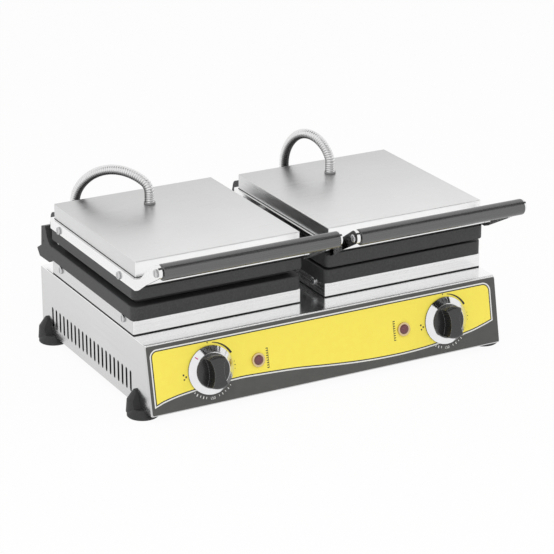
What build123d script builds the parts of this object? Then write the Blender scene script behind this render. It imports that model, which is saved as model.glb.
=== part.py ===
from build123d import *
from math import atan2, cos, degrees, hypot, pi, radians, sin
import os

# Double waffle maker: one stainless base, two pairs of cast waffle plates, two hinged lids.
# Millimetres. X runs across the front, Y from front to back, Z up.
# In this file Y is measured from the top front edge of the base and Z from the table.
# Every finished piece is moved along Y at the end, so the whole object is centred on Y = 0.

# Base housing, a folded stainless box open below and behind
BASE_WIDTH = 574.0
BASE_DEPTH = 361.5
BASE_HEIGHT = 99.6
PANEL_FORWARD = 19.9
BASE_LIFT = 12.0
SHEET = 1.2
CORNER_RADIUS = 3.0
EDGE_RADIUS = 1.6
REAR_LIP = 14.0
BOTTOM_LIP = 12.0

# Cooling slots in both side walls
SLOT_COUNT = 21
SLOT_WIDTH = 4.4
SLOT_HEIGHT = 30.5
SLOT_BOTTOM = 14.0
SLOT_FIRST_Y = 47.8
SLOT_REAR_MARGIN = 39.7
BOTTOM_SLOT_COUNT = 9
BOTTOM_SLOT_LENGTH = 60.0
BOTTOM_SLOT_PITCH = 14.0

# Rubber feet
FOOT_RADIUS = 23.0
FOOT_INSET = 5.0
FOOT_FRONT_Y = 20.0
FOOT_REAR_MARGIN = 29.5
FOOT_RIM = 3.0
TONGUE_SHIFT = 10.0
TONGUE_RADIUS = 18.5
TONGUE_WIDTH = 25.0
TONGUE_TOP_WIDTH = 11.0
TONGUE_HEIGHT = 24.5
FOOT_SCREW_RADIUS = 2.5
FOOT_SCREW_HEAD = 5.0
FOOT_SCREW_RECESS = 6.0

# Front fascia and what is on it, measured down the sloped panel from its top edge
FASCIA_THICKNESS = 0.8
FASCIA_MARGIN = 1.6
FASCIA_TOP_MARGIN = 2.2
FASCIA_BOTTOM_MARGIN = 1.5
CONTROL_DOWN = 51.5
KNOB_INSET = (96.0, 91.5)
LAMP_DISTANCE = (75.0, 71.9)
SHAFT_RADIUS = 3.0
BUSH_RADIUS = 5.0
BUSH_LENGTH = 6.0
THERMOSTAT_SIZE = (44.0, 36.0, 34.0)
LAMP_BODY_RADIUS = 8.0
LAMP_BODY_LENGTH = 22.0
LAMP_BEZEL_RADIUS = 10.0
LAMP_BEZEL_HEIGHT = 2.6
LAMP_LENS_RADIUS = 7.2
LAMP_LENS_HEIGHT = 4.4

# Control knob: black grip on a bright conical skirt
SKIRT_RADIUS = 35.0
SKIRT_TOP_RADIUS = 26.5
SKIRT_RISE = 8.0
SKIRT_SHEET = 1.0
GRIP_RADIUS = 25.0
GRIP_FLANGE = 2.6
GRIP_HEIGHT = 30.0
GRIP_WIDTH = 15.0
GRIP_HUB_RADIUS = 21.0
GRIP_SHAFT_DEPTH = 16.0

# The two cooking units, left then right
UNIT_SIDE_GAP = (1.5, -1.0)
UNIT_GAP = 37.5
PLATE_FRONT = 39.6
PLATE_REAR_MARGIN = 35.5
SKIRT_WALL_HEIGHT = 21.5
SKIRT_INSET = 1.2
SKIRT_REAR_STEP = 3.0
SKIRT_JOGGLE = 3.0
SKIRT_SHADOW_GAP = 1.8
SKIRT_FLANGE = 24.0
PLATE_HEIGHT = 21.0
PLATE_CORNER = 9.0
CAST_WALL = 9.0
CAST_FLOOR = 6.0
CAST_EDGE = 1.6

# Waffle moulds: two by two compartments in each plate, each with four by four pins
MOULD_MARGIN_X = 16.0
MOULD_MARGIN_FRONT = 18.4
MOULD_MARGIN_REAR = 24.0
MOULD_DEPTH = 11.0
MOULD_DIVIDER = 10.0
MOULD_COMPARTMENTS = 2
PIN_COUNT = 4
PIN_SHARE = 0.68
PIN_HEIGHT = 6.5
PIN_TAPER = 12.0
MOULD_CLOSING_GAP = 1.0
PAD_WALL = 3.0

# Hinge: ears on the lower casting, lugs on the upper one, a short pin through each pair
HINGE_BEHIND_PLATE = 22.0
HINGE_OVER_PLATE = 15.9
HINGE_ROD_RADIUS = 4.0
HINGE_FIT = 0.08
EAR_WIDTH = 13.0
EAR_SKIN = 3.0
EAR_DIMPLE_RADIUS = 1.3
EAR_DIMPLE_DEPTH = 1.5
EAR_DIMPLE_DROP = 15.7
LUG_WIDTH = 12.5
LUG_SIDE_GAP = 1.5
LUG_RADIUS = 12.0
LUG_LEAN = 5.0
LUG_CLIMB = 16.6
EAR_HEEL = 29.0
CLIP_RADIUS = 7.0
CLIP_THICKNESS = 1.2
CLIP_SEAT = 3.2
CLIP_GAP = 0.3

# Lids, left then right: the left one floats higher over its lower plate
LID_SEAT = (29.0, 26.0)
RIM_GAP = (12.0, 5.0)
LID_OPEN_ANGLE = 95.0
UPPER_OVERHANG = 5.6
UPPER_REAR_STEP = 2.0
FRAME_OVERHANG = 5.0
FRAME_HEIGHT = 16.0
FRAME_FRONT_HEIGHT = 10.8
FRAME_SHEET = 2.0
FRAME_LEDGE = 11.0
NECK_FIT = 0.2
NECK_TOP_FIT = 0.3
COVER_INSET = 4.5
COVER_FRONT_INSET = 8.0
COVER_REAR_INSET = 7.0
COVER_HEIGHT = 23.0
COVER_SHEET = 1.0
COVER_EDGE = 1.4
INSULATION_FIT = 1.0

# Handle: a black sleeve on a steel rod between two arms of the lid frame
HANDLE_REACH = 84.6
HANDLE_RISE = 55.3
HANDLE_RADIUS = 11.6
HANDLE_ROD_RADIUS = 5.0
HANDLE_ROD_FIT = 0.2
ARM_END_RADIUS = 9.5
ARM_END_LIFT = 1.3
ARM_JOGGLE = 7.0
ARM_JOGGLE_AHEAD = (15.0, 51.0)
ARM_BEND_AHEAD = 36.4
ARM_LIP = (5.0, 2.6)
ARM_LIP_SHEET = 1.3
GRIP_END_GAP = (2.2, 0.4)

# Heating elements and fasteners
ELEMENT_RADIUS = 3.5
ELEMENT_FIT = 0.3
ELEMENT_BENDS = 5
ELEMENT_MARGIN = 30.0
SCREW_RADIUS = 3.0
SCREW_HEAD_RADIUS = 5.7
SCREW_HEAD_HEIGHT = 3.0
SCREW_LENGTH = 12.0
SCREW_FIT = 0.1
SKIRT_SCREW_MARGIN = (33.4, 36.0)
SKIRT_SCREW_RISE = 15.6
LID_SCREW_MARGIN = (41.4, 36.0)
LID_SCREW_RISE = 5.8
SMALL_SCREW_RADIUS = 2.0
SMALL_SCREW_HEAD = 3.8
BOSS_LENGTH = 16.0

# Ribbed metal conduits that carry the leads from the base to the lids, left then right
HOSE_RADIUS = 7.5
HOSE_RIB_DEPTH = 0.8
HOSE_WALL = 1.5
HOSE_PITCH = 3.4
HOSE_FOOT_PLACE = ((128.5, 76.0), (130.0, 72.0))
HOSE_LEG_PLACE = ((50.5, 2.0), (100.0, 2.0))
HOSE_STRAIGHT = 15.0
HOSE_BENDS = (((20.6, 58.0), (77.6, 144.0)), ((20.0, 22.0), (46.0, 128.0)))
GLAND_WALL = 0.8
GLAND_NUT_WALL = 3.4
NUT_CLEARANCE = 0.2
GLAND_HEIGHT = 3.2
GLAND_SEAT = 1.0
GLAND_STEM_WALL = 2.4
GLAND_STEM_LENGTH = 9.0
GLAND_FIT = 0.3
END_GAP = 0.3

# Mains entry and wiring
CORD_GLAND_INSET = 85.0
CORD_GLAND_Z = 48.0
CORD_BORE = 4.5
TERMINAL_SIZE = (64.0, 24.0, 22.0)
TERMINAL_REAR_MARGIN = 71.5
WIRE_RADIUS = 3.0

# Places that follow from the sizes above
DECK = BASE_LIFT + BASE_HEIGHT
HALF = BASE_WIDTH / 2
LOWER_TOP = DECK + SKIRT_WALL_HEIGHT + PLATE_HEIGHT
HINGE_RISE = SKIRT_WALL_HEIGHT + PLATE_HEIGHT + HINGE_OVER_PLATE
HINGE_Z = DECK + HINGE_RISE
PANEL_LENGTH = hypot(BASE_HEIGHT, PANEL_FORWARD)
PANEL_LEAN = atan2(PANEL_FORWARD, BASE_HEIGHT)
SHEET_ALONG_Y = SHEET / cos(PANEL_LEAN)
SLOT_PITCH = (BASE_DEPTH - SLOT_FIRST_Y - SLOT_REAR_MARGIN) / (SLOT_COUNT - 1)
FOOT_Y = (FOOT_FRONT_Y, BASE_DEPTH - FOOT_REAR_MARGIN)
KNOB_X = (-HALF + KNOB_INSET[0], HALF - KNOB_INSET[1])
LAMP_X = (KNOB_X[0] + LAMP_DISTANCE[0], KNOB_X[1] - LAMP_DISTANCE[1])
UNIT_WIDTH = (BASE_WIDTH - sum(UNIT_SIDE_GAP) - UNIT_GAP) / 2
UNIT_X = (-HALF + UNIT_SIDE_GAP[0], HALF - UNIT_SIDE_GAP[1] - UNIT_WIDTH)
PLATE_REAR = BASE_DEPTH - PLATE_REAR_MARGIN
SKIRT_REAR = PLATE_REAR - SKIRT_REAR_STEP
MOULD_FRONT = PLATE_FRONT + MOULD_MARGIN_FRONT
MOULD_REAR = PLATE_REAR - MOULD_MARGIN_REAR
HINGE_Y = PLATE_REAR + HINGE_BEHIND_PLATE
LUG_TOP_Y = HINGE_Y - LUG_LEAN
LUG_TOP_RISE = HINGE_RISE + LUG_CLIMB
LUG_START = EAR_WIDTH + LUG_SIDE_GAP
UPPER_FRONT = PLATE_FRONT - UPPER_OVERHANG
UPPER_REAR = PLATE_REAR - UPPER_REAR_STEP
FRAME_FRONT = UPPER_FRONT - FRAME_OVERHANG
FRAME_REAR = UPPER_REAR
COVER_FRONT = FRAME_FRONT + COVER_FRONT_INSET
COVER_REAR = FRAME_REAR - COVER_REAR_INSET
HANDLE_Y = FRAME_FRONT - HANDLE_REACH
ARM_JOGGLE_Y = (FRAME_FRONT - ARM_JOGGLE_AHEAD[0], FRAME_FRONT - ARM_JOGGLE_AHEAD[1])
SKIRT_SCREW_Y = (PLATE_FRONT + SKIRT_SCREW_MARGIN[0], PLATE_REAR - SKIRT_SCREW_MARGIN[1])
LID_SCREW_Y = (PLATE_FRONT + LID_SCREW_MARGIN[0], PLATE_REAR - LID_SCREW_MARGIN[1])
HOSE_GROOVE_RADIUS = HOSE_RADIUS - HOSE_RIB_DEPTH
HOSE_BORE_RADIUS = HOSE_GROOVE_RADIUS - HOSE_WALL
HOSE_FOOT = tuple((UNIT_X[i] + x, PLATE_REAR - y) for i, (x, y) in enumerate(HOSE_FOOT_PLACE))
HOSE_LEG = tuple((UNIT_X[i] + x, HINGE_Y - y) for i, (x, y) in enumerate(HOSE_LEG_PLACE))
GLAND_RADIUS = HOSE_RADIUS + GLAND_FIT + GLAND_WALL
GLAND_STEM_RADIUS = HOSE_BORE_RADIUS + GLAND_STEM_WALL
GLAND_NUT_RADIUS = GLAND_STEM_RADIUS + GLAND_NUT_WALL
CORD_GLAND_X = -HALF + CORD_GLAND_INSET
TERMINAL_Y = BASE_DEPTH - TERMINAL_REAR_MARGIN
PANEL_SCREW_X = (-HALF + SHEET + REAR_LIP / 2, 0.0, HALF - SHEET - REAR_LIP / 2)
FRONT_REACH = HANDLE_Y - max(HANDLE_RADIUS, ARM_END_RADIUS)
REAR_REACH = HINGE_Y + EAR_HEEL
Y_MIDDLE = (FRONT_REACH + REAR_REACH) / 2
SIDES = ("left", "right")

os.makedirs("parts", exist_ok=True)


def write(name, *solids):
    """Move the finished solids to the object's own origin and write them as one node."""
    placed = [Pos(0, -Y_MIDDLE, 0) * piece for group in solids for piece in group.solids()]
    shape = placed[0] if len(placed) == 1 else Compound(children=placed)
    export_step(shape, f"parts/{name}.step")


def block(x0, x1, y0, y1, z0, z1):
    return Pos((x0 + x1) / 2, (y0 + y1) / 2, (z0 + z1) / 2) * Box(x1 - x0, y1 - y0, z1 - z0)


def slab(x0, x1, y0, y1, z0, z1, radius):
    outline = Pos((x0 + x1) / 2, (y0 + y1) / 2, z0) * RectangleRounded(x1 - x0, y1 - y0, radius)
    return extrude(outline, z1 - z0)


def rod_x(x0, x1, y, z, radius):
    """A round bar along X."""
    return Pos((x0 + x1) / 2, y, z) * Rot(0, 90, 0) * Cylinder(radius, x1 - x0)


def rod_z(x, y, z0, z1, radius):
    return Pos(x, y, (z0 + z1) / 2) * Cylinder(radius, z1 - z0)


def side_plane(x):
    """Plane whose own X and Y are the object's Y and Z."""
    return Plane(origin=(x, 0, 0), x_dir=(0, 1, 0), z_dir=(1, 0, 0))


def side_sketch(*points):
    return make_face(Polyline(*points, close=True))


def side_extrude(sketch, x0, x1):
    return extrude(side_plane(x0) * sketch, x1 - x0)


def panel_plane(x, down, out=0.0):
    """Plane on the sloped front panel: own Z points out of the panel."""
    normal = Vector(0, -cos(PANEL_LEAN), sin(PANEL_LEAN))
    along = Vector(0, -sin(PANEL_LEAN), -cos(PANEL_LEAN))
    origin = Vector(x, 0, DECK) + along * down + normal * out
    return Plane(origin=origin, x_dir=(1, 0, 0), z_dir=normal)


def panel_disc(x, out0, out1, radius):
    return extrude(panel_plane(x, CONTROL_DOWN, out0) * Circle(radius), out1 - out0)


def housing_hull(half, sheet, round_corner, round_edge, grow):
    """Solid outline of the housing, drawn in by one sheet; grow opens it below and behind."""
    along_y = sheet / cos(PANEL_LEAN)
    low = BASE_LIFT - grow
    slope = PANEL_FORWARD / BASE_HEIGHT
    top = DECK - sheet
    points = (
        (along_y - slope * (DECK - top), top),
        (along_y - slope * (DECK - low), low),
        (BASE_DEPTH + grow, low),
        (BASE_DEPTH + grow, top),
    )
    solid = side_extrude(side_sketch(*points), -half, half)
    sloped = [e for e in solid.edges() if abs(abs(e.center().X) - half) < 0.01 and e.center().Y < 0
              and e.length > BASE_HEIGHT * 0.7 and abs(e.tangent_at(0.5).Y) < 0.5]
    solid = fillet(sloped, round_corner)
    top_edges = [e for e in solid.edges() if abs(e.center().Z - top) < 0.01
                 and e.center().Y < BASE_DEPTH * 0.8]
    return fillet(top_edges, round_edge)


def housing_inside():
    return housing_hull(HALF - SHEET, SHEET, CORNER_RADIUS - SHEET, EDGE_RADIUS - SHEET, 2.0)


def base_housing():
    shell = housing_hull(HALF, 0.0, CORNER_RADIUS, EDGE_RADIUS, 0.0) - housing_inside()
    lip_y1 = BASE_DEPTH - SHEET
    lip_y0 = lip_y1 - SHEET
    inside = HALF - SHEET
    lip = block(-inside, inside, lip_y0, lip_y1, BASE_LIFT + SHEET, DECK - SHEET)
    lip -= block(-inside + REAR_LIP, inside - REAR_LIP, lip_y0 - 1, lip_y1 + 1,
                 BASE_LIFT, DECK - SHEET - REAR_LIP)
    shell += lip
    slot = side_plane(-HALF - 1) * Rot(0, 0, 90) * SlotOverall(SLOT_HEIGHT, SLOT_WIDTH)
    bar = extrude(slot, BASE_WIDTH + 2)
    slot_z = BASE_LIFT + SLOT_BOTTOM + SLOT_HEIGHT / 2
    for i in range(SLOT_COUNT):
        shell -= Pos(0, SLOT_FIRST_Y + i * SLOT_PITCH, slot_z) * bar
    for x in KNOB_X:
        shell -= panel_disc(x, -5, 5, BUSH_RADIUS + SCREW_FIT)
    for x in LAMP_X:
        shell -= panel_disc(x, -5, 5, LAMP_BODY_RADIUS + SCREW_FIT)
    for i in (0, 1):
        x, y = HOSE_LEG[i]
        shell -= rod_z(x, y, DECK - 5, DECK + 1, GLAND_STEM_RADIUS + GLAND_FIT)
        middle = UNIT_X[i] + UNIT_WIDTH / 2
        shell -= rod_z(middle, MOULD_REAR - ELEMENT_MARGIN, DECK - 5, DECK + 1, ELEMENT_MARGIN / 2)
    for x in PANEL_SCREW_X:
        for z in panel_screw_heights(x):
            shell -= Pos(x, lip_y0, z) * Rot(90, 0, 0) * Cylinder(SMALL_SCREW_RADIUS + SCREW_FIT, 8)
    return shell


def panel_screw_heights(x):
    """The middle column has a screw at the top only."""
    high = DECK - SHEET - REAR_LIP / 2
    low = BASE_LIFT + BOTTOM_LIP + REAR_LIP / 2
    return (high,) if abs(x) < HALF / 2 else (low, high)


def rear_panel():
    inside = HALF - SHEET
    plate = block(-inside, inside, BASE_DEPTH - SHEET, BASE_DEPTH, BASE_LIFT + SHEET, DECK - SHEET)
    plate -= Pos(CORD_GLAND_X, BASE_DEPTH, CORD_GLAND_Z) * Rot(90, 0, 0) * Cylinder(
        GLAND_STEM_RADIUS + GLAND_FIT, 8)
    for x in PANEL_SCREW_X:
        for z in panel_screw_heights(x):
            plate -= Pos(x, BASE_DEPTH, z) * Rot(90, 0, 0) * Cylinder(
                SMALL_SCREW_RADIUS + SCREW_FIT, 8)
    slot = Rot(90, 0, 0) * extrude(Rot(0, 0, 90) * SlotOverall(SLOT_HEIGHT, SLOT_WIDTH), 6, both=True)
    slot_z = BASE_LIFT + SLOT_BOTTOM + SLOT_HEIGHT / 2 + SHEET
    for middle in (-80.0, 140.0):
        for i in range(BOTTOM_SLOT_COUNT):
            x = middle + (i - (BOTTOM_SLOT_COUNT - 1) / 2) * BOTTOM_SLOT_PITCH
            plate -= Pos(x, BASE_DEPTH, slot_z) * slot
    return plate & housing_inside()


def bottom_plate():
    inside = HALF - SHEET
    slope = PANEL_FORWARD / BASE_HEIGHT
    front = SHEET_ALONG_Y - PANEL_FORWARD + slope * SHEET + 0.2
    back = BASE_DEPTH - 2 * SHEET
    plate = block(-inside, inside, front, BASE_DEPTH, BASE_LIFT, BASE_LIFT + SHEET)
    for sign in (-1, 1):
        outer = sign * inside
        inner = sign * (inside - SHEET)
        plate += block(min(outer, inner), max(outer, inner), front + 4, back,
                       BASE_LIFT, BASE_LIFT + BOTTOM_LIP)
        for y in FOOT_Y:
            plate -= rod_z(sign * (HALF - FOOT_INSET - BOTTOM_LIP), y, BASE_LIFT - 1,
                           BASE_LIFT + SHEET + 1, FOOT_SCREW_RADIUS + SCREW_FIT)
    slot = extrude(Rot(0, 0, 90) * SlotOverall(BOTTOM_SLOT_LENGTH, SLOT_WIDTH), 6, both=True)
    for middle in (UNIT_X[0] + UNIT_WIDTH / 2, UNIT_X[1] + UNIT_WIDTH / 2):
        for y in (BASE_DEPTH * 0.3, BASE_DEPTH * 0.6):
            for i in range(BOTTOM_SLOT_COUNT):
                x = middle + (i - (BOTTOM_SLOT_COUNT - 1) / 2) * BOTTOM_SLOT_PITCH
                plate -= Pos(x, y, BASE_LIFT) * slot
    return plate & housing_inside()


def foot(sign, y):
    """Rubber foot: a low disc under the base and a tongue that climbs its side wall."""
    axis_x = sign * (HALF - FOOT_INSET)
    top = BASE_LIFT + TONGUE_HEIGHT
    collar = FOOT_RADIUS - BASE_LIFT * 0.6
    disc = rod_z(axis_x, y, 0, FOOT_RIM, FOOT_RADIUS)
    disc = chamfer(disc.edges().group_by(Axis.Z)[0], 0.8)
    cone = Cone(FOOT_RADIUS, collar, BASE_LIFT - FOOT_RIM)
    disc += Pos(axis_x, y, (BASE_LIFT + FOOT_RIM) / 2) * cone
    shoulder = BASE_LIFT + TONGUE_HEIGHT * 0.35
    side = Polyline((0, FOOT_RIM), (TONGUE_RADIUS + 1.5, FOOT_RIM), (TONGUE_RADIUS, shoulder),
                    (FOOT_INSET + 3.0, top), (0, top), close=True)
    bell = Pos(axis_x, y + TONGUE_SHIFT, 0) * revolve(Plane.XZ * make_face(side), Axis.Z)
    middle = y + TONGUE_SHIFT
    low = TONGUE_WIDTH / 2
    high = TONGUE_TOP_WIDTH / 2
    flare = low + BASE_LIFT * 0.7
    outline = side_sketch(
        (middle - flare, FOOT_RIM), (middle - low, BASE_LIFT + 1.0), (middle - high, top - 3.5),
        (middle - high + 3.0, top), (middle + high - 3.0, top),
        (middle + high, top - 3.5), (middle + low, BASE_LIFT + 1.0), (middle + flare, FOOT_RIM))
    x0 = min(sign * (HALF - 1), sign * (HALF + FOOT_RADIUS))
    tongue = bell & side_extrude(outline, x0, x0 + FOOT_RADIUS + 1)
    body = disc + tongue
    body -= block(min(sign * HALF, 0), max(sign * HALF, 0), y - 60, y + 60, BASE_LIFT, top + 5)
    screw_x = sign * (HALF - FOOT_INSET - BOTTOM_LIP)
    body -= rod_z(screw_x, y, -1, FOOT_SCREW_RECESS, FOOT_SCREW_HEAD + 0.6)
    return body - rod_z(screw_x, y, -1, BASE_LIFT + 1, FOOT_SCREW_RADIUS + SCREW_FIT)


def pan_screw(radius, head_radius, head_height, length):
    """Screw along +Z with the underside of its head at Z = 0 and the shank below it."""
    head = Pos(0, 0, head_height / 2) * Cylinder(head_radius, head_height)
    rim = head.edges().group_by(Axis.Z)[-1]
    head = fillet(rim, head_height * 0.45)
    head -= Pos(0, 0, head_height) * Box(head_radius * 1.5, 1.1, head_height * 0.9)
    return head + Pos(0, 0, -length / 2) * Cylinder(radius, length)


def screw_pointing(x, y, z, rotation, screw):
    return Pos(x, y, z) * rotation * screw


def chassis_screws():
    small = pan_screw(SMALL_SCREW_RADIUS, SMALL_SCREW_HEAD, 2.0, 8.0)
    screws = []
    for x in PANEL_SCREW_X:
        for z in panel_screw_heights(x):
            screws.append(screw_pointing(x, BASE_DEPTH, z, Rot(-90, 0, 0), small))
    long = pan_screw(FOOT_SCREW_RADIUS, FOOT_SCREW_HEAD, 3.0, BASE_LIFT - FOOT_SCREW_RECESS + 5.0)
    for sign in (-1, 1):
        for y in FOOT_Y:
            x = sign * (HALF - FOOT_INSET - BOTTOM_LIP)
            screws.append(screw_pointing(x, y, FOOT_SCREW_RECESS, Rot(180, 0, 0), long))
    return screws


def front_fascia():
    wide = BASE_WIDTH - 2 * FASCIA_MARGIN
    tall = PANEL_LENGTH - FASCIA_TOP_MARGIN - FASCIA_BOTTOM_MARGIN
    middle = FASCIA_TOP_MARGIN + tall / 2
    plate = extrude(panel_plane(0, middle) * RectangleRounded(wide, tall, 2.0), FASCIA_THICKNESS)
    for x in KNOB_X:
        plate -= panel_disc(x, -5, 5, BUSH_RADIUS + SCREW_FIT)
    for x in LAMP_X:
        plate -= panel_disc(x, -5, 5, LAMP_BODY_RADIUS + SCREW_FIT)
    return plate


def thermostat(x):
    wide, tall, deep = THERMOSTAT_SIZE
    body = extrude(panel_plane(x, CONTROL_DOWN, -SHEET - deep) * RectangleRounded(wide, tall, 2.5), deep)
    body += panel_disc(x, -SHEET, FASCIA_THICKNESS + 0.1, BUSH_RADIUS)
    body += extrude(panel_plane(x, CONTROL_DOWN, -SHEET - deep - 5) * RectangleRounded(
        wide * 0.6, tall * 0.5, 2.0), 5)
    return body - panel_disc(x, -SHEET - deep * 0.7, 10, SHAFT_RADIUS + HINGE_FIT)


def spindle(x):
    back = -SHEET - THERMOSTAT_SIZE[2] * 0.7 + END_GAP
    return panel_disc(x, back, FASCIA_THICKNESS + GRIP_SHAFT_DEPTH, SHAFT_RADIUS)


def knob_skirt(x):
    """Bright conical ring with a flat top that the grip's flange covers."""
    base = FASCIA_THICKNESS + 0.8
    top = base + SKIRT_RISE
    points = (
        (SKIRT_RADIUS, base),
        (SKIRT_RADIUS, base + 1.4),
        (SKIRT_TOP_RADIUS, top),
        (GRIP_HUB_RADIUS + 0.1, top),
        (GRIP_HUB_RADIUS + 0.1, top - SKIRT_SHEET),
        (SKIRT_TOP_RADIUS - 0.6, top - SKIRT_SHEET),
        (SKIRT_RADIUS - SKIRT_SHEET - 0.3, base + 0.9),
        (SKIRT_RADIUS - SKIRT_SHEET - 0.3, base),
    )
    profile = Plane.XZ * make_face(Polyline(*points, close=True))
    return panel_plane(x, CONTROL_DOWN) * revolve(profile, Axis.Z)


def knob(x):
    """Black moulded grip: hub inside the skirt, flange over it and a scooped bar."""
    base = FASCIA_THICKNESS + 0.8
    flange_low = base + SKIRT_RISE
    flange_high = flange_low + GRIP_FLANGE
    hub = Pos(0, 0, (base + 0.6 + flange_low) / 2) * Cylinder(GRIP_HUB_RADIUS, flange_low - base - 0.6)
    flange = Pos(0, 0, (flange_low + flange_high) / 2) * Cylinder(GRIP_RADIUS, GRIP_FLANGE)
    flange = fillet(flange.edges().group_by(Axis.Z)[-1], GRIP_FLANGE * 0.45)
    dome = Pos(0, 0, (flange_high + GRIP_HEIGHT) / 2) * Cylinder(
        GRIP_RADIUS - 1.2, GRIP_HEIGHT - flange_high)
    dome = fillet(dome.edges().group_by(Axis.Z)[-1], 5.0)
    scoop_radius = GRIP_RADIUS * 1.7
    for sign in (-1, 1):
        scoop = Pos(sign * (scoop_radius + GRIP_WIDTH / 2), 0, GRIP_HEIGHT / 2 + flange_high)
        dome -= scoop * Cylinder(scoop_radius, GRIP_HEIGHT)
    grip = hub + flange + dome
    depth = FASCIA_THICKNESS + GRIP_SHAFT_DEPTH + END_GAP
    grip -= Pos(0, 0, depth / 2) * Cylinder(SHAFT_RADIUS + 0.03, depth)
    return panel_plane(x, CONTROL_DOWN) * grip


def lamp_bezel(x):
    ring = panel_disc(x, FASCIA_THICKNESS, FASCIA_THICKNESS + LAMP_BEZEL_HEIGHT, LAMP_BEZEL_RADIUS)
    ring += panel_disc(x, -LAMP_BODY_LENGTH, FASCIA_THICKNESS, LAMP_BODY_RADIUS)
    ring -= panel_disc(x, -6, FASCIA_THICKNESS + LAMP_BEZEL_HEIGHT + 1, LAMP_LENS_RADIUS + 0.1)
    return ring


def lamp_lens(x):
    lens = Cylinder(LAMP_LENS_RADIUS, LAMP_LENS_HEIGHT + 6)
    lens = fillet(lens.edges().group_by(Axis.Z)[-1], 2.6)
    middle = FASCIA_THICKNESS - 5.8 + LAMP_LENS_HEIGHT / 2 + 3
    return panel_plane(x, CONTROL_DOWN, middle) * lens


def terminal_block():
    wide, deep, tall = TERMINAL_SIZE
    low = BASE_LIFT + SHEET
    body = block(-wide / 2, wide / 2, TERMINAL_Y - deep / 2, TERMINAL_Y + deep / 2, low, low + tall)
    for i in range(4):
        x = (i - 1.5) * wide / 4.4
        body -= rod_z(x, TERMINAL_Y, low + tall * 0.4, low + tall + 1, 3.4)
        body -= Pos(x, TERMINAL_Y, low + tall * 0.3) * Rot(90, 0, 0) * Cylinder(
            WIRE_RADIUS + 0.4, deep + 2)
    return body


def cord_gland():
    """Mains cable entry in the rear panel; the cable itself isn't part of the model."""
    turn = Pos(CORD_GLAND_X, BASE_DEPTH, CORD_GLAND_Z) * Rot(-90, 0, 0)
    flange = Pos(0, 0, 2) * extrude(RegularPolygon(GLAND_NUT_RADIUS, 6), 4, both=True)
    flange &= Pos(0, 0, 2) * Cylinder(GLAND_NUT_RADIUS, 4)
    dome = Pos(0, 0, 8) * Cone(GLAND_NUT_RADIUS - 1.5, CORD_BORE + 2.5, 8)
    stem = Pos(0, 0, -GLAND_STEM_LENGTH / 2) * Cylinder(GLAND_STEM_RADIUS, GLAND_STEM_LENGTH)
    nut = Pos(0, 0, -SHEET - 2.5) * extrude(RegularPolygon(GLAND_NUT_RADIUS, 6), 2.4, both=True)
    body = flange + dome + stem
    bore = Cylinder(CORD_BORE, 60)
    nut -= Cylinder(GLAND_STEM_RADIUS, 60)
    return [turn * (body - bore), turn * nut]


def lower_skirt(i):
    """Folded stainless ring between the deck and the lower casting, stepped in at its foot."""
    x0 = UNIT_X[i] + SKIRT_INSET
    x1 = UNIT_X[i] + UNIT_WIDTH - SKIRT_INSET
    y0 = PLATE_FRONT + SKIRT_INSET
    y1 = SKIRT_REAR
    z0 = DECK + SKIRT_SHADOW_GAP
    z1 = DECK + SKIRT_WALL_HEIGHT
    j = SKIRT_JOGGLE
    t = SHEET
    ring = slab(x0, x1, y0, y1, z0, z1, 2.0) - slab(x0 + t, x1 - t, y0 + t, y1 - t, z0 + t, z1 + 1, 0.8)
    ring += block(x0 + j, x1 - j, y0 + j, y1 - j, DECK, z0 + t)
    ring -= block(x0 + j + t, x1 - j - t, y0 + j + t, y1 - j - t, DECK + t, z1 + 1)
    f = SKIRT_FLANGE
    ring -= block(x0 + f, x1 - f, y0 + f, y1 - f, DECK - 1, z1 + 1)
    for y in SKIRT_SCREW_Y:
        z = DECK + SKIRT_SCREW_RISE
        for x in (x0, x1):
            ring -= rod_x(x - 3, x + 3, y, z, SCREW_RADIUS + SCREW_FIT)
    return ring


def mould_cells(i):
    """Corner coordinates of the compartments, the same in the lower and the upper plate."""
    left = UNIT_X[i] + MOULD_MARGIN_X
    right = UNIT_X[i] + UNIT_WIDTH - MOULD_MARGIN_X
    n = MOULD_COMPARTMENTS
    wide = (right - left - (n - 1) * MOULD_DIVIDER) / n
    deep = (MOULD_REAR - MOULD_FRONT - (n - 1) * MOULD_DIVIDER) / n
    for a in range(n):
        for b in range(n):
            x0 = left + a * (wide + MOULD_DIVIDER)
            y0 = MOULD_FRONT + b * (deep + MOULD_DIVIDER)
            yield x0, x0 + wide, y0, y0 + deep


def mould_pins(i, z, upward):
    """Tapered pins that press the pockets of the waffle."""
    pins = []
    height = PIN_HEIGHT + 0.5
    for x0, x1, y0, y1 in mould_cells(i):
        step_x = (x1 - x0) / PIN_COUNT
        step_y = (y1 - y0) / PIN_COUNT
        base = Rectangle(step_x * PIN_SHARE, step_y * PIN_SHARE)
        pin = extrude(base, height, taper=PIN_TAPER)
        if not upward:
            pin = Rot(180, 0, 0) * pin
        start = z - 0.5 if upward else z + 0.5
        for a in range(PIN_COUNT):
            for b in range(PIN_COUNT):
                pins.append(Pos(x0 + (a + 0.5) * step_x, y0 + (b + 0.5) * step_y, start) * pin)
    return pins


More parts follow.
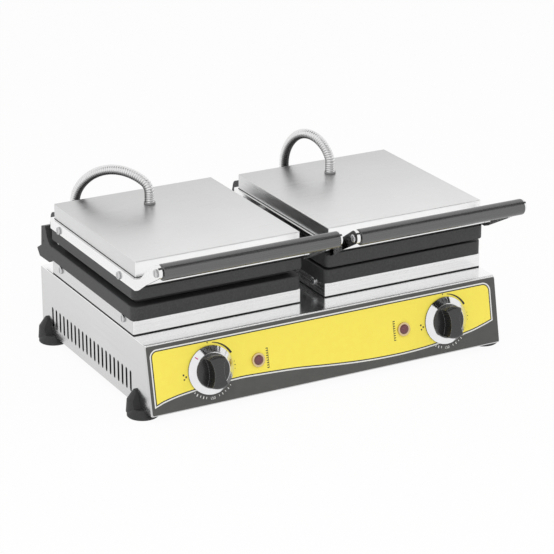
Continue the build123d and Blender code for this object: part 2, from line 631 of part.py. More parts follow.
def ear_outline():
    """Hinge ear and rear lug of the lower casting, as Y and height above the deck."""
    foot_z = SKIRT_WALL_HEIGHT
    top_z = SKIRT_WALL_HEIGHT + PLATE_HEIGHT
    heel = REAR_REACH
    points = (
        (PLATE_REAR - 16, foot_z),
        (PLATE_REAR - 3, foot_z),
        (PLATE_REAR + 6, foot_z - 7.0),
        (heel - 9, foot_z - 8.0),
        (heel, foot_z + 2.4),
        (HINGE_Y + 12.5, foot_z + 11.8),
        (HINGE_Y + 9.5, HINGE_RISE + 6.0),
        (HINGE_Y - 4.5, HINGE_RISE + 9.5),
        (HINGE_Y - 6.0, HINGE_RISE + 3.0),
        (HINGE_Y - 11.5, HINGE_RISE - 8.0),
        (PLATE_REAR + 2.5, top_z + 0.5),
        (PLATE_REAR - 8, top_z - 1.5),
        (PLATE_REAR - 16, top_z - 3),
    )
    return side_sketch(*[(y, DECK + z) for y, z in points])


def lower_plate(i):
    x0 = UNIT_X[i]
    x1 = x0 + UNIT_WIDTH
    z0 = DECK + SKIRT_WALL_HEIGHT
    body = slab(x0, x1, PLATE_FRONT, PLATE_REAR, z0, LOWER_TOP, PLATE_CORNER)
    body = fillet(body.edges().group_by(Axis.Z)[-1], CAST_EDGE)
    floor = LOWER_TOP - MOULD_DEPTH - CAST_FLOOR
    w = CAST_WALL
    body -= slab(x0 + w, x1 - w, PLATE_FRONT + w, PLATE_REAR - w, z0 - 1, floor, 4.0)
    for a0, a1, b0, b1 in mould_cells(i):
        body -= slab(a0, a1, b0, b1, LOWER_TOP - MOULD_DEPTH, LOWER_TOP + 1, 3.0)
    body = body.fuse(*mould_pins(i, LOWER_TOP - MOULD_DEPTH, True))
    ear = ear_outline()
    body += side_extrude(ear, x0, x0 + EAR_WIDTH)
    body += side_extrude(ear, x1 - EAR_WIDTH, x1)
    boss_in = SKIRT_INSET + SHEET + 0.2
    boss_low = DECK + SKIRT_SCREW_RISE - 6.0
    for y in SKIRT_SCREW_Y:
        for side in (0, 1):
            a = x0 + boss_in if side == 0 else x1 - boss_in - 11
            body += block(a, a + 11, y - BOSS_LENGTH / 2, y + BOSS_LENGTH / 2, boss_low, z0 + 2)
        z = DECK + SKIRT_SCREW_RISE
        body -= rod_x(x0, x0 + 20, y, z, SCREW_RADIUS + SCREW_FIT)
        body -= rod_x(x1 - 20, x1, y, z, SCREW_RADIUS + SCREW_FIT)
    body -= rod_x(x0 + EAR_SKIN, x1 - EAR_SKIN, HINGE_Y, HINGE_Z, HINGE_ROD_RADIUS + HINGE_FIT)
    for x in (x0, x1):
        body -= rod_x(x - EAR_DIMPLE_DEPTH, x + EAR_DIMPLE_DEPTH, HINGE_Y + 2.7,
                      HINGE_Z - EAR_DIMPLE_DROP, EAR_DIMPLE_RADIUS)
    return body


def element_path(i, z):
    """Serpentine of the tubular element, seen from above."""
    left = UNIT_X[i] + MOULD_MARGIN_X + ELEMENT_MARGIN / 2
    right = UNIT_X[i] + UNIT_WIDTH - MOULD_MARGIN_X - ELEMENT_MARGIN / 2
    front = MOULD_FRONT + ELEMENT_MARGIN / 2
    back = MOULD_REAR - ELEMENT_MARGIN / 2
    step = (right - left) / ELEMENT_BENDS
    points = []
    for k in range(ELEMENT_BENDS + 1):
        x = left + k * step
        ends = (back, front) if k % 2 == 0 else (front, back)
        points += [(x, ends[0], z), (x, ends[1], z)]
    return FilletPolyline(*points, radius=step * 0.42)


def element(i, z):
    path = element_path(i, z)
    start = Plane(origin=path @ 0, z_dir=path % 0)
    return sweep(start * Circle(ELEMENT_RADIUS), path=path)


def lower_element_z():
    return LOWER_TOP - MOULD_DEPTH - CAST_FLOOR - ELEMENT_FIT - ELEMENT_RADIUS


def upper_element_z():
    return LOWER_TOP + MOULD_CLOSING_GAP + MOULD_DEPTH + CAST_FLOOR + ELEMENT_FIT + ELEMENT_RADIUS


def lower_insulation(i):
    m = SKIRT_FLANGE - 8.0
    top = lower_element_z() - ELEMENT_RADIUS - ELEMENT_FIT
    return slab(UNIT_X[i] + m, UNIT_X[i] + UNIT_WIDTH - m, PLATE_FRONT + m, SKIRT_REAR - m,
                DECK + SHEET, top, 3.0)


def lug_outline(i):
    """Hinge lug of the upper casting: a round end on the pin that rises behind the lid."""
    low = (HINGE_Y, HINGE_RISE)
    high = (LUG_TOP_Y, LUG_TOP_RISE)
    reach = hypot(high[0] - low[0], high[1] - low[1])
    tilt = degrees(atan2(high[1] - low[1], high[0] - low[0]))
    middle = Pos((low[0] + high[0]) / 2, DECK + (low[1] + high[1]) / 2)
    eye = middle * Rot(0, 0, tilt) * SlotCenterToCenter(reach, 2 * LUG_RADIUS)
    neck_low = LOWER_TOP - DECK + RIM_GAP[i] + 1.0
    neck_high = LOWER_TOP - DECK + LID_SEAT[i] + FRAME_HEIGHT - FRAME_SHEET - NECK_TOP_FIT
    neck = side_sketch(
        (UPPER_REAR - 6, DECK + neck_low),
        (HINGE_Y - 4, DECK + neck_low - 2.0),
        (LUG_TOP_Y, DECK + neck_high),
        (UPPER_REAR - 6, DECK + neck_high),
    )
    return eye + neck


def lug_starts(i):
    """Left face of each of the two lugs."""
    return (UNIT_X[i] + LUG_START, UNIT_X[i] + UNIT_WIDTH - LUG_START - LUG_WIDTH)


def upper_plate(i):
    x0 = UNIT_X[i]
    x1 = x0 + UNIT_WIDTH
    seat = LOWER_TOP + LID_SEAT[i]
    rim = LOWER_TOP + RIM_GAP[i]
    pad = LOWER_TOP + MOULD_CLOSING_GAP
    roof = pad + MOULD_DEPTH
    body = slab(x0, x1, UPPER_FRONT, UPPER_REAR, rim, seat, PLATE_CORNER)
    body = fillet(body.edges().group_by(Axis.Z)[0], CAST_EDGE)
    inset = FRAME_SHEET + NECK_FIT
    neck_top = seat + FRAME_HEIGHT - FRAME_SHEET - NECK_TOP_FIT
    body += slab(x0 + inset, x1 - inset, UPPER_FRONT + inset, UPPER_REAR - inset, seat, neck_top, 6.0)
    p = MOULD_MARGIN_X - PAD_WALL
    pad_block = slab(x0 + p, x1 - p, MOULD_FRONT - PAD_WALL, MOULD_REAR + PAD_WALL, pad, roof + 2, 4.0)
    body += pad_block
    w = CAST_WALL + inset
    body -= slab(x0 + w, x1 - w, UPPER_FRONT + w, UPPER_REAR - w, roof + CAST_FLOOR, neck_top + 1, 4.0)
    for a0, a1, b0, b1 in mould_cells(i):
        body -= slab(a0, a1, b0, b1, pad - 1, roof, 3.0)
    body = body.fuse(*mould_pins(i, roof, False))
    outline = lug_outline(i)
    for x in lug_starts(i):
        body += side_extrude(outline, x, x + LUG_WIDTH)
    for y in LID_SCREW_Y:
        z = seat + LID_SCREW_RISE
        body -= rod_x(x0, x0 + 20, y, z, SCREW_RADIUS + SCREW_FIT)
        body -= rod_x(x1 - 20, x1, y, z, SCREW_RADIUS + SCREW_FIT)
    body -= rod_x(x0 - 1, x1 + 1, HINGE_Y, HINGE_Z, HINGE_ROD_RADIUS + HINGE_FIT)
    return body


def arm_rise():
    return atan2(HANDLE_RISE - FRAME_HEIGHT / 2, FRAME_FRONT - HANDLE_Y)


def arm_outline(i):
    """Side arm of the lid frame, from the frame's front corner up to the handle."""
    seat = LOWER_TOP + LID_SEAT[i]
    r = ARM_END_RADIUS
    centre = (HANDLE_Y, seat + HANDLE_RISE + ARM_END_LIFT)
    root = FRAME_FRONT + 6.0
    rise = arm_rise()
    across = (sin(rise) * r, cos(rise) * r)
    upper = (centre[0] + across[0], centre[1] + across[1])
    lower = (centre[0] - across[0], centre[1] - across[1])
    tip = (centre[0] - cos(rise) * r, centre[1] + sin(rise) * r)
    outline = ThreePointArc(upper, tip, lower)
    outline += Polyline(
        lower,
        (FRAME_FRONT - 10, seat + 4.0),
        (FRAME_FRONT + 1, seat),
        (root, seat),
        (root, seat + FRAME_HEIGHT),
        (FRAME_FRONT - 2, seat + FRAME_HEIGHT + 1.5),
        (FRAME_FRONT - 18.7, seat + FRAME_HEIGHT + 8.0),
        (FRAME_FRONT - ARM_BEND_AHEAD, seat + FRAME_HEIGHT + 20.0),
        upper,
    )
    return make_face(outline)


def arm_band(x, sign):
    """The arm seen from above: flush with the frame, then stepped outwards for the handle."""
    t = FRAME_SHEET
    j = ARM_JOGGLE
    near, far = ARM_JOGGLE_Y
    back = FRAME_FRONT + 7.0
    ahead = HANDLE_Y - ARM_END_RADIUS - 2
    outer = [(0, back), (0, near), (-j, far), (-j, ahead)]
    inner = [(t - j, ahead), (t - j, far), (t, near), (t, back)]
    points = [(x - sign * a, y) for a, y in outer + inner]
    z0 = DECK
    return extrude(Pos(0, 0, z0) * make_face(Polyline(*points, close=True)), 3 * HANDLE_RISE + z0)


def arm_lip(i):
    """Half ring at the end of the arm, folded towards the handle."""
    seat = LOWER_TOP + LID_SEAT[i]
    centre = Pos(HANDLE_Y, seat + HANDLE_RISE + ARM_END_LIFT)
    ring = Circle(ARM_END_RADIUS) - Circle(ARM_END_RADIUS - ARM_LIP_SHEET)
    cut = Rot(0, 0, -degrees(arm_rise())) * Pos(ARM_END_RADIUS, 0) * Rectangle(
        2 * ARM_END_RADIUS, 60)
    return centre * (ring - cut)


def lid_frame(i):
    x0 = UNIT_X[i]
    x1 = x0 + UNIT_WIDTH
    seat = LOWER_TOP + LID_SEAT[i]
    top = seat + FRAME_HEIGHT
    t = FRAME_SHEET
    y0, y1 = FRAME_FRONT, FRAME_REAR
    ring = slab(x0, x1, y0, y1, seat, top, 2.5) - block(x0 + t, x1 - t, y0 + t, y1 - t, seat - 1, top - t)
    g = FRAME_LEDGE
    ring -= block(x0 + g, x1 - g, y0 + g, y1 - g, seat - 1, top + 1)
    ring -= block(x0 + t, x1 - t, y0 - 1, y0 + t + 1, seat - 1, top - FRAME_FRONT_HEIGHT)
    for x in lug_starts(i):
        ring -= block(x - 1, x + LUG_WIDTH + 1, y1 - t - 1, y1 + 1, seat - 1, top - t)
    outline = arm_outline(i)
    lip = arm_lip(i)
    far0, far1 = arm_faces(i)
    ring += side_extrude(outline, far0 - 1, x0 + t + 1) & arm_band(x0, -1)
    ring += side_extrude(outline, x1 - t - 1, far1 + 1) & arm_band(x1, 1)
    ring += side_extrude(lip, far0 + t / 2, far0 + ARM_LIP[0])
    ring += side_extrude(lip, far1 - ARM_LIP[1], far1 - t / 2)
    handle_z = seat + HANDLE_RISE
    ring -= rod_x(far0 - 1, far1 + 1, HANDLE_Y, handle_z, SCREW_RADIUS + SCREW_FIT)
    for y in LID_SCREW_Y:
        z = seat + LID_SCREW_RISE
        ring -= rod_x(x0 - 1, x0 + t + 1, y, z, SCREW_RADIUS + SCREW_FIT)
        ring -= rod_x(x1 - t - 1, x1 + 1, y, z, SCREW_RADIUS + SCREW_FIT)
    return ring


def arm_faces(i):
    """Outer faces of the two arm ends that hold the handle."""
    return (UNIT_X[i] - ARM_JOGGLE, UNIT_X[i] + UNIT_WIDTH + ARM_JOGGLE)


def cover_top(i):
    return LOWER_TOP + LID_SEAT[i] + FRAME_HEIGHT + COVER_HEIGHT


def lid_cover(i):
    x0 = UNIT_X[i] + COVER_INSET
    x1 = UNIT_X[i] + UNIT_WIDTH - COVER_INSET
    z0 = LOWER_TOP + LID_SEAT[i] + FRAME_HEIGHT
    z1 = cover_top(i)
    t = COVER_SHEET
    shell = slab(x0, x1, COVER_FRONT, COVER_REAR, z0, z1, 1.6)
    shell = fillet(shell.edges().group_by(Axis.Z)[-1], COVER_EDGE)
    shell -= slab(x0 + t, x1 - t, COVER_FRONT + t, COVER_REAR - t, z0 - 1, z1 - t, 0.8)
    x, y = HOSE_FOOT[i]
    return shell - rod_z(x, y, z1 - 5, z1 + 1, GLAND_STEM_RADIUS + GLAND_FIT)


def upper_insulation(i):
    m = CAST_WALL + FRAME_SHEET + NECK_FIT + INSULATION_FIT
    low = upper_element_z() + ELEMENT_RADIUS + ELEMENT_FIT
    board = slab(UNIT_X[i] + m, UNIT_X[i] + UNIT_WIDTH - m, UPPER_FRONT + m, UPPER_REAR - m,
                 low, cover_top(i) - COVER_SHEET - INSULATION_FIT, 3.0)
    x, y = HOSE_FOOT[i]
    return board - rod_z(x, y, cover_top(i) - GLAND_STEM_LENGTH - 6, cover_top(i), GLAND_NUT_RADIUS + NUT_CLEARANCE)


def handle_parts(i):
    x0, x1 = arm_faces(i)
    z = LOWER_TOP + LID_SEAT[i] + HANDLE_RISE
    y = HANDLE_Y
    t = FRAME_SHEET
    rod = rod_x(x0 + t, x1 - t, y, z, HANDLE_ROD_RADIUS)
    tapped = SCREW_LENGTH + 4
    rod -= rod_x(x0 - 1, x0 + t + tapped, y, z, SCREW_RADIUS + SCREW_FIT)
    rod -= rod_x(x1 - t - tapped, x1 + 1, y, z, SCREW_RADIUS + SCREW_FIT)
    near, far = (lip + gap for lip, gap in zip(ARM_LIP, GRIP_END_GAP))
    grip = rod_x(x0 + near, x1 - far, y, z, HANDLE_RADIUS)
    grip = fillet(grip.edges().filter_by(GeomType.CIRCLE), 1.2)
    grip -= rod_x(x0, x1, y, z, HANDLE_ROD_RADIUS + HANDLE_ROD_FIT)
    screw = pan_screw(SCREW_RADIUS, SCREW_HEAD_RADIUS, SCREW_HEAD_HEIGHT, SCREW_LENGTH)
    screws = [
        screw_pointing(x0, y, z, Rot(0, -90, 0), screw),
        screw_pointing(x1, y, z, Rot(0, 90, 0), screw),
    ]
    return rod, grip, screws


def side_screws(i, ys, z, inset):
    """Pan-head screws into both sides of a unit."""
    screw = pan_screw(SCREW_RADIUS, SCREW_HEAD_RADIUS, SCREW_HEAD_HEIGHT, SCREW_LENGTH)
    screws = []
    for y in ys:
        screws.append(screw_pointing(UNIT_X[i] + inset, y, z, Rot(0, -90, 0), screw))
        screws.append(screw_pointing(UNIT_X[i] + UNIT_WIDTH - inset, y, z, Rot(0, 90, 0), screw))
    return screws


def hinge_pins(i):
    """Two short pins, each in a blind bore of one ear and through the lug beside it."""
    reach = CLIP_THICKNESS + 1.2
    left, right = clip_starts(i)
    blind = EAR_SKIN + CLIP_GAP
    spans = ((UNIT_X[i] + blind, left + reach), (right + CLIP_THICKNESS - reach, UNIT_X[i] + UNIT_WIDTH - blind))
    pins = []
    for (a, b), x in zip(spans, (left, right)):
        pin = rod_x(a, b, HINGE_Y, HINGE_Z, HINGE_ROD_RADIUS)
        groove = rod_x(x, x + CLIP_THICKNESS, HINGE_Y, HINGE_Z, HINGE_ROD_RADIUS + 1)
        pins.append(pin - (groove - rod_x(x, x + CLIP_THICKNESS, HINGE_Y, HINGE_Z, CLIP_SEAT)))
    return pins


def clip_starts(i):
    """Left faces of the two retaining rings of a unit, on the inner sides of the lugs."""
    inner = LUG_START + LUG_WIDTH + CLIP_GAP
    return (UNIT_X[i] + inner, UNIT_X[i] + UNIT_WIDTH - inner - CLIP_THICKNESS)


def hinge_clips():
    """Open retaining rings in the grooves at the inner ends of the pins."""
    clips = []
    for i in (0, 1):
        for x in clip_starts(i):
            clip = rod_x(x, x + CLIP_THICKNESS, HINGE_Y, HINGE_Z, CLIP_RADIUS)
            clip -= rod_x(x, x + CLIP_THICKNESS, HINGE_Y, HINGE_Z, CLIP_SEAT)
            clip -= block(x - 1, x + CLIP_THICKNESS + 1, HINGE_Y - CLIP_SEAT, HINGE_Y + CLIP_SEAT,
                          HINGE_Z - CLIP_RADIUS - 1, HINGE_Z)
            clips.append(clip)
    return clips


def gland(x, y, face):
    """Threaded gland standing on a sheet's upper face, with its nut below the sheet."""
    collar = rod_z(x, y, face, face + GLAND_HEIGHT, GLAND_RADIUS)
    collar = fillet(collar.edges().group_by(Axis.Z)[-1], 0.6)
    collar -= rod_z(x, y, face + GLAND_SEAT, face + GLAND_HEIGHT + 1, HOSE_RADIUS + GLAND_FIT)
    stem = rod_z(x, y, face - GLAND_STEM_LENGTH, face + GLAND_SEAT, GLAND_STEM_RADIUS)
    body = (collar + stem) - rod_z(x, y, face - 20, face + 5, HOSE_BORE_RADIUS)
    nut = Pos(x, y, face - SHEET - 3.6) * extrude(RegularPolygon(GLAND_NUT_RADIUS, 6), 3.4)
    nut -= rod_z(x, y, face - 20, face + 5, GLAND_STEM_RADIUS)
    return [body, nut]


class HoseRoute:
    """Centre line of a conduit: up from the lid, over in three bends, down to the deck."""

    def __init__(self, i):
        foot = Vector(*HOSE_FOOT[i], cover_top(i) + GLAND_SEAT + END_GAP)
        leg = Vector(*HOSE_LEG[i], DECK + GLAND_SEAT + END_GAP)
        self.foot = foot
        flat = Vector(leg.X - foot.X, leg.Y - foot.Y, 0)
        self.ahead = flat.normalized()
        self.side = self.ahead.cross(Vector(0, 0, 1))
        span = flat.length
        u, z, turned = 0.0, foot.Z + HOSE_STRAIGHT, 0.0
        self.parts = [(0.0, HOSE_STRAIGHT, 0.0, foot.Z, 0.0, 0.0)]
        start = HOSE_STRAIGHT
        for radius, angle in HOSE_BENDS[i] + ((None, 180.0),):
            end = radians(angle)
            if radius is None:
                radius = (span - u) / (cos(turned) - cos(end))
            length = radius * (end - turned)
            self.parts.append((start, length, u, z, turned, radius))
            start += length
            u += radius * (cos(turned) - cos(end))
            z += radius * (sin(end) - sin(turned))
            turned = end
        self.parts.append((start, z - leg.Z, u, z, turned, 0.0))
        self.length = start + z - leg.Z
        self.tightest = min(radius for *_, radius in self.parts if radius)

    def at(self, s):
        """Position and direction at a distance along the hose."""
        for start, length, u, z, turned, radius in self.parts:
            if s <= start + length:
                break
        done = s - start
        if radius:
            angle = turned + done / radius
            u += radius * (cos(turned) - cos(angle))
            z += radius * (sin(angle) - sin(turned))
        else:
            angle = turned
            u += sin(angle) * done
            z += cos(angle) * done
        up = Vector(0, 0, 1)
        place = Vector(self.foot.X, self.foot.Y, z) + self.ahead * u
        return place, self.ahead * sin(angle) + up * cos(angle)

    def plane(self, s):
        place, direction = self.at(s)
        return Plane(origin=place, x_dir=self.side, z_dir=direction)

    def line(self):
        edges = []
        for start, length, *_, radius in self.parts:
            first, middle, last = [self.at(start + length * k)[0] for k in (0.0, 0.5, 1.0)]
            edges.append(ThreePointArc(first, middle, last) if radius else Line(first, last))
        return Wire([edge.edge() for edge in edges])


def conduit(i):
    """Ribbed metal hose: each rib is four circles, groove, crest, crest, groove."""
    route = HoseRoute(i)
    count = int(route.length / HOSE_PITCH)
    pitch = route.length / count
    shares = ((0.0, HOSE_GROOVE_RADIUS), (0.22, HOSE_RADIUS), (0.7, HOSE_RADIUS), (0.92, HOSE_GROOVE_RADIUS))
    rings = []
    for k in range(count):
        for share, radius in shares:
            rings.append(route.plane((k + share) * pitch) * Circle(radius))
    rings.append(route.plane(route.length) * Circle(HOSE_GROOVE_RADIUS))
    outer = loft(rings, ruled=True)
    line = route.line()
    bore = sweep(route.plane(0) * Circle(HOSE_BORE_RADIUS), path=line)
    print(f"conduit {SIDES[i]}: {count} ribs, length {route.length:.1f}, tightest bend {route.tightest}")
    return outer - bore


def wire(*points, bend=14.0):
    path = FilletPolyline(*points, radius=bend)
    start = Plane(origin=path @ 0, z_dir=path % 0)
    return sweep(start * Circle(WIRE_RADIUS), path=path)


def wiring_loom():
    """Sleeved leads inside the base: terminal block to thermostats and to the conduits."""
    wires = []
    lay = BASE_LIFT + SHEET + TERMINAL_SIZE[2] * 0.3
    wide, deep, _ = TERMINAL_SIZE
    gap = END_GAP
    for i in (0, 1):
        inner = (1 - 2 * i) * -0.5 * wide / 4.4
        outer = (1 - 2 * i) * -1.5 * wide / 4.4
        back = panel_plane(KNOB_X[i], CONTROL_DOWN, -SHEET - THERMOSTAT_SIZE[2] - 5 - gap).origin
        inward = panel_plane(0, 0).z_dir * -1
        turn = back + inward * 40
        wires.append(wire(back, turn, (turn.X, turn.Y + 40, lay), (inner, TERMINAL_Y - deep - 40, lay),
                          (inner, TERMINAL_Y - deep / 2 - gap, lay)))
        x, y = HOSE_LEG[i]
        stem = DECK - GLAND_STEM_LENGTH - gap
        wires.append(wire((outer, TERMINAL_Y + deep / 2 + gap, lay), (outer, y - 5, lay),
                          (x, y, lay), (x, y, stem)))
    return wires


def build():
    write("base_housing", base_housing())
    write("rear_panel", rear_panel())
    write("bottom_plate", bottom_plate())
    write("front_fascia", front_fascia())
    for side, sign in zip(SIDES, (-1, 1)):
        for place, y in zip(("front", "rear"), FOOT_Y):
            write(f"foot_{place}_{side}", foot(sign, y))
    write("chassis_screws", *chassis_screws())
    write("cord_gland", *cord_gland())
    write("terminal_block", terminal_block())
    write("wiring_loom", *wiring_loom())
    write("hinge_clips", *hinge_clips())
    skirt_screws = []
    for i, side in enumerate(SIDES):
        write(f"thermostat_{side}", thermostat(KNOB_X[i]))
        write(f"spindle_{side}", spindle(KNOB_X[i]))
        write(f"knob_{side}", knob(KNOB_X[i]))
        write(f"knob_skirt_{side}", knob_skirt(KNOB_X[i]))
        write(f"lamp_bezel_{side}", lamp_bezel(LAMP_X[i]))
        write(f"lamp_lens_{side}", lamp_lens(LAMP_X[i]))
        write(f"lower_skirt_{side}", lower_skirt(i))
        write(f"lower_plate_{side}", lower_plate(i))
        write(f"lower_element_{side}", element(i, lower_element_z()))
        write(f"lower_insulation_{side}", lower_insulation(i))
        write(f"hinge_pins_{side}", *hinge_pins(i))
        write(f"upper_plate_{side}", upper_plate(i))
        write(f"upper_element_{side}", element(i, upper_element_z()))
        write(f"upper_insulation_{side}", upper_insulation(i))
        write(f"lid_frame_{side}", lid_frame(i))
        write(f"lid_cover_{side}", lid_cover(i))
        rod, grip, screws = handle_parts(i)
        write(f"handle_rod_{side}", rod)
        write(f"handle_grip_{side}", grip)
        write(f"handle_screws_{side}", *screws)
        seat = LOWER_TOP + LID_SEAT[i]
        write(f"lid_screws_{side}", *side_screws(i, LID_SCREW_Y, seat + LID_SCREW_RISE, 0.0))
        skirt_screws += side_screws(i, SKIRT_SCREW_Y, DECK + SKIRT_SCREW_RISE, SKIRT_INSET)
        write(f"conduit_{side}", conduit(i))
        write(f"lid_gland_{side}", *gland(*HOSE_FOOT[i], cover_top(i)))
        write(f"conduit_socket_{side}", *gland(*HOSE_LEG[i], DECK))
    write("skirt_screws", *skirt_screws)
    print(f"hinge axis at y {HINGE_Y - Y_MIDDLE:.3f}, z {HINGE_Z:.3f}; lower plate top {LOWER_TOP:.3f}")


build()
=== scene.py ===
"""Looks of a double waffle maker around its frame: finishes with painted light and shade, printed
panel, black strips of painted shade in gaps, conduits.
"""
from math import atan2, cos, hypot, pi, radians, sin

import bmesh
import bpy
from mathutils import Matrix, Vector


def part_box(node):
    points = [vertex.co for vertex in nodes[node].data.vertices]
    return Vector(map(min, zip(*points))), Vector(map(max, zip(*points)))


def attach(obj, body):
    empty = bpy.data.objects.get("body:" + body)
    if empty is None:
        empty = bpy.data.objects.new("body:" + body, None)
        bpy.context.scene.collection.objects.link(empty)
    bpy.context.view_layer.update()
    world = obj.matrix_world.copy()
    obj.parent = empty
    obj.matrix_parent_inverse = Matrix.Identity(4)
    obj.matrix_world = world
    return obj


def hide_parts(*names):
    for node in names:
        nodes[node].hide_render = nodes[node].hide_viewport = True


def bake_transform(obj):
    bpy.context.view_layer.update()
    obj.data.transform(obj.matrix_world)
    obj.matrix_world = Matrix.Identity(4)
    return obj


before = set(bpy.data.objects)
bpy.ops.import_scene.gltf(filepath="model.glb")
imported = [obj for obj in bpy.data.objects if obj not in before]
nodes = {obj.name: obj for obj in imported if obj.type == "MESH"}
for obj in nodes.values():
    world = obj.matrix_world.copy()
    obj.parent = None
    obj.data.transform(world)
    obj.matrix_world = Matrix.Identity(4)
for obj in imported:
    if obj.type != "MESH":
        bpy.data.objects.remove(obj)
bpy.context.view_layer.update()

SIDES = ("left", "right")
MM = 0.001
PANEL_DEPTH, PANEL_HEIGHT = 19.9, 99.6
PANEL_LEAN = atan2(PANEL_DEPTH, PANEL_HEIGHT)
UP = Vector((0.0, sin(PANEL_LEAN), cos(PANEL_LEAN)))
OUT = Vector((0.0, -cos(PANEL_LEAN), sin(PANEL_LEAN)))

# ---------------------------------------------------------------- camera

LENS, SENSOR = 154.24, 36.0
CLIP_START, CLIP_END = 0.1, 40.0
CAMERA_PLACE = Vector((-1.55688, -2.89763, 1.36410))
YAW, PITCH, ROLL = radians(28.312), radians(20.878), radians(0.134)


def make_camera():
    data = bpy.data.cameras.new("camera")
    data.sensor_fit = "HORIZONTAL"
    data.sensor_width = SENSOR
    data.lens = LENS
    data.clip_start, data.clip_end = CLIP_START, CLIP_END
    camera = bpy.data.objects.new("camera", data)
    bpy.context.scene.collection.objects.link(camera)
    ahead = Vector((sin(YAW) * cos(PITCH), cos(YAW) * cos(PITCH), -sin(PITCH)))
    right = Vector((cos(YAW), -sin(YAW), 0.0))
    down = ahead.cross(right)
    rolled_right = right * cos(ROLL) + down * sin(ROLL)
    rolled_down = down * cos(ROLL) - right * sin(ROLL)
    turn = Matrix((rolled_right, -rolled_down, -ahead)).transposed()
    camera.matrix_world = Matrix.Translation(CAMERA_PLACE) @ turn.to_4x4()
    bpy.context.scene.camera = camera


make_camera()

# ---------------------------------------------------------------- finishes

FACING = 0.6
CREVICE_SAMPLES, BEVEL_SAMPLES = 6, 4
SHARP_DOT, FLAT_DOT = 0.82, 0.995


class Finish:
    """A procedural material: one Principled shader and the nodes that feed it."""

    def __init__(self, name, **sockets):
        self.material = bpy.data.materials.new(name)
        self.material.use_nodes = True
        self.tree = self.material.node_tree
        self.shader = self.tree.nodes["Principled BSDF"]
        for key, value in sockets.items():
            self.shader.inputs[key.replace("_", " ")].default_value = value
        self.place = self.node("TexCoord")

    def node(self, kind, inputs=None, **props):
        made = self.tree.nodes.new("ShaderNode" + kind)
        for key, value in props.items():
            setattr(made, key, value)
        for key, value in (inputs or {}).items():
            if isinstance(value, bpy.types.NodeSocket):
                self.tree.links.new(value, made.inputs[key])
            else:
                made.inputs[key].default_value = value
        return made

    def feed(self, socket, value):
        self.tree.links.new(value, self.shader.inputs[socket])

    def noise(self, scale, detail=2.0, rough=0.5):
        """Noise over the object's own coordinates; scale is per metre, one number or three."""
        if not isinstance(scale, tuple):
            scale = (scale,) * 3
        mapped = self.node("Mapping", {"Vector": self.place.outputs["Object"], "Scale": scale})
        return self.node("TexNoise", {"Vector": mapped.outputs["Vector"], "Scale": 1.0,
                                      "Detail": detail, "Roughness": rough}).outputs["Fac"]

    def spread(self, value, low, high, start=0.3, end=0.7):
        """Value mapped from start and end to low and high; the defaults suit a noise."""
        return self.node("MapRange", {"Value": value, "From Min": start, "From Max": end,
                                      "To Min": low, "To Max": high}).outputs["Result"]

    def math(self, operation, a, b=0.0):
        return self.node("Math", {0: a, 1: b}, operation=operation).outputs[0]

    def choose(self, factor, a, b):
        return self.node("Mix", {0: factor, 2: a, 3: b}, data_type="FLOAT").outputs[0]

    def ramp(self, value, *stops):
        made = self.node("ValToRGB", {"Fac": value})
        elements = made.color_ramp.elements
        for k, (position, color) in enumerate(stops):
            element = elements[k] if k < 2 else elements.new(position)
            element.position = position
            element.color = (*color, 1.0)
        return made.outputs["Color"]

    def bump(self, height, distance, strength=1.0):
        bump = self.node("Bump", {"Height": height, "Distance": distance, "Strength": strength})
        self.feed("Normal", bump.outputs["Normal"])
        return bump

    def edges(self, bump, radius):
        """1 on sharp edges, falling to 0 on the faces beside them; also rounds them in the bump."""
        bevel = self.node("Bevel", {"Radius": radius}, samples=BEVEL_SAMPLES)
        self.tree.links.new(bevel.outputs["Normal"], bump.inputs["Normal"])
        geometry = self.node("NewGeometry")
        dot = self.dot(bevel.outputs["Normal"], geometry.outputs["Normal"])
        return self.spread(dot, 1.0, 0.0, SHARP_DOT, FLAT_DOT)

    def dot(self, a, b):
        return self.node("VectorMath", {0: a, 1: b}, operation="DOT_PRODUCT").outputs["Value"]

    def grey(self, level):
        return self.node("CombineColor", {0: level, 1: level, 2: level}).outputs[0]

    def crevice_shade(self, distance, shade_level, start, end):
        """Painted shade: 1 in the open, falling to a darker level in grooves and corners."""
        open_share = self.node("AmbientOcclusion", {"Distance": distance},
                               samples=CREVICE_SAMPLES).outputs["AO"]
        return self.spread(open_share, shade_level, 1.0, start, end)

    def sideways(self):
        """1 where the surface faces along X, 0 elsewhere."""
        split = self.node("SeparateXYZ", {"Vector": self.place.outputs["Normal"]})
        return self.math("GREATER_THAN", self.math("ABSOLUTE", split.outputs["X"]), FACING)

    def faces(self, axis, sign):
        """1 where the surface faces one way along an axis, 0 elsewhere."""
        split = self.node("SeparateXYZ", {"Vector": self.place.outputs["Normal"]})
        return self.math("GREATER_THAN", self.math("MULTIPLY", split.outputs[axis], sign), FACING)

    def along(self, axis):
        """The object's own coordinate on one axis, in metres."""
        return self.node("SeparateXYZ", {"Vector": self.place.outputs["Object"]}).outputs[axis]

    def between(self, value, low, high):
        """1 between two values, 0 outside them."""
        return self.math("MULTIPLY", self.math("GREATER_THAN", value, low),
                         self.math("LESS_THAN", value, high))


def shade(color, factor):
    return tuple(min(1.0, part * factor) for part in color)


GRAIN_LONG, GRAIN_FINE = 7.0, 950.0
CLOUD_SCALE, CLOUD = 9.0, 0.02
GRAIN_DEPTH = 0.00003


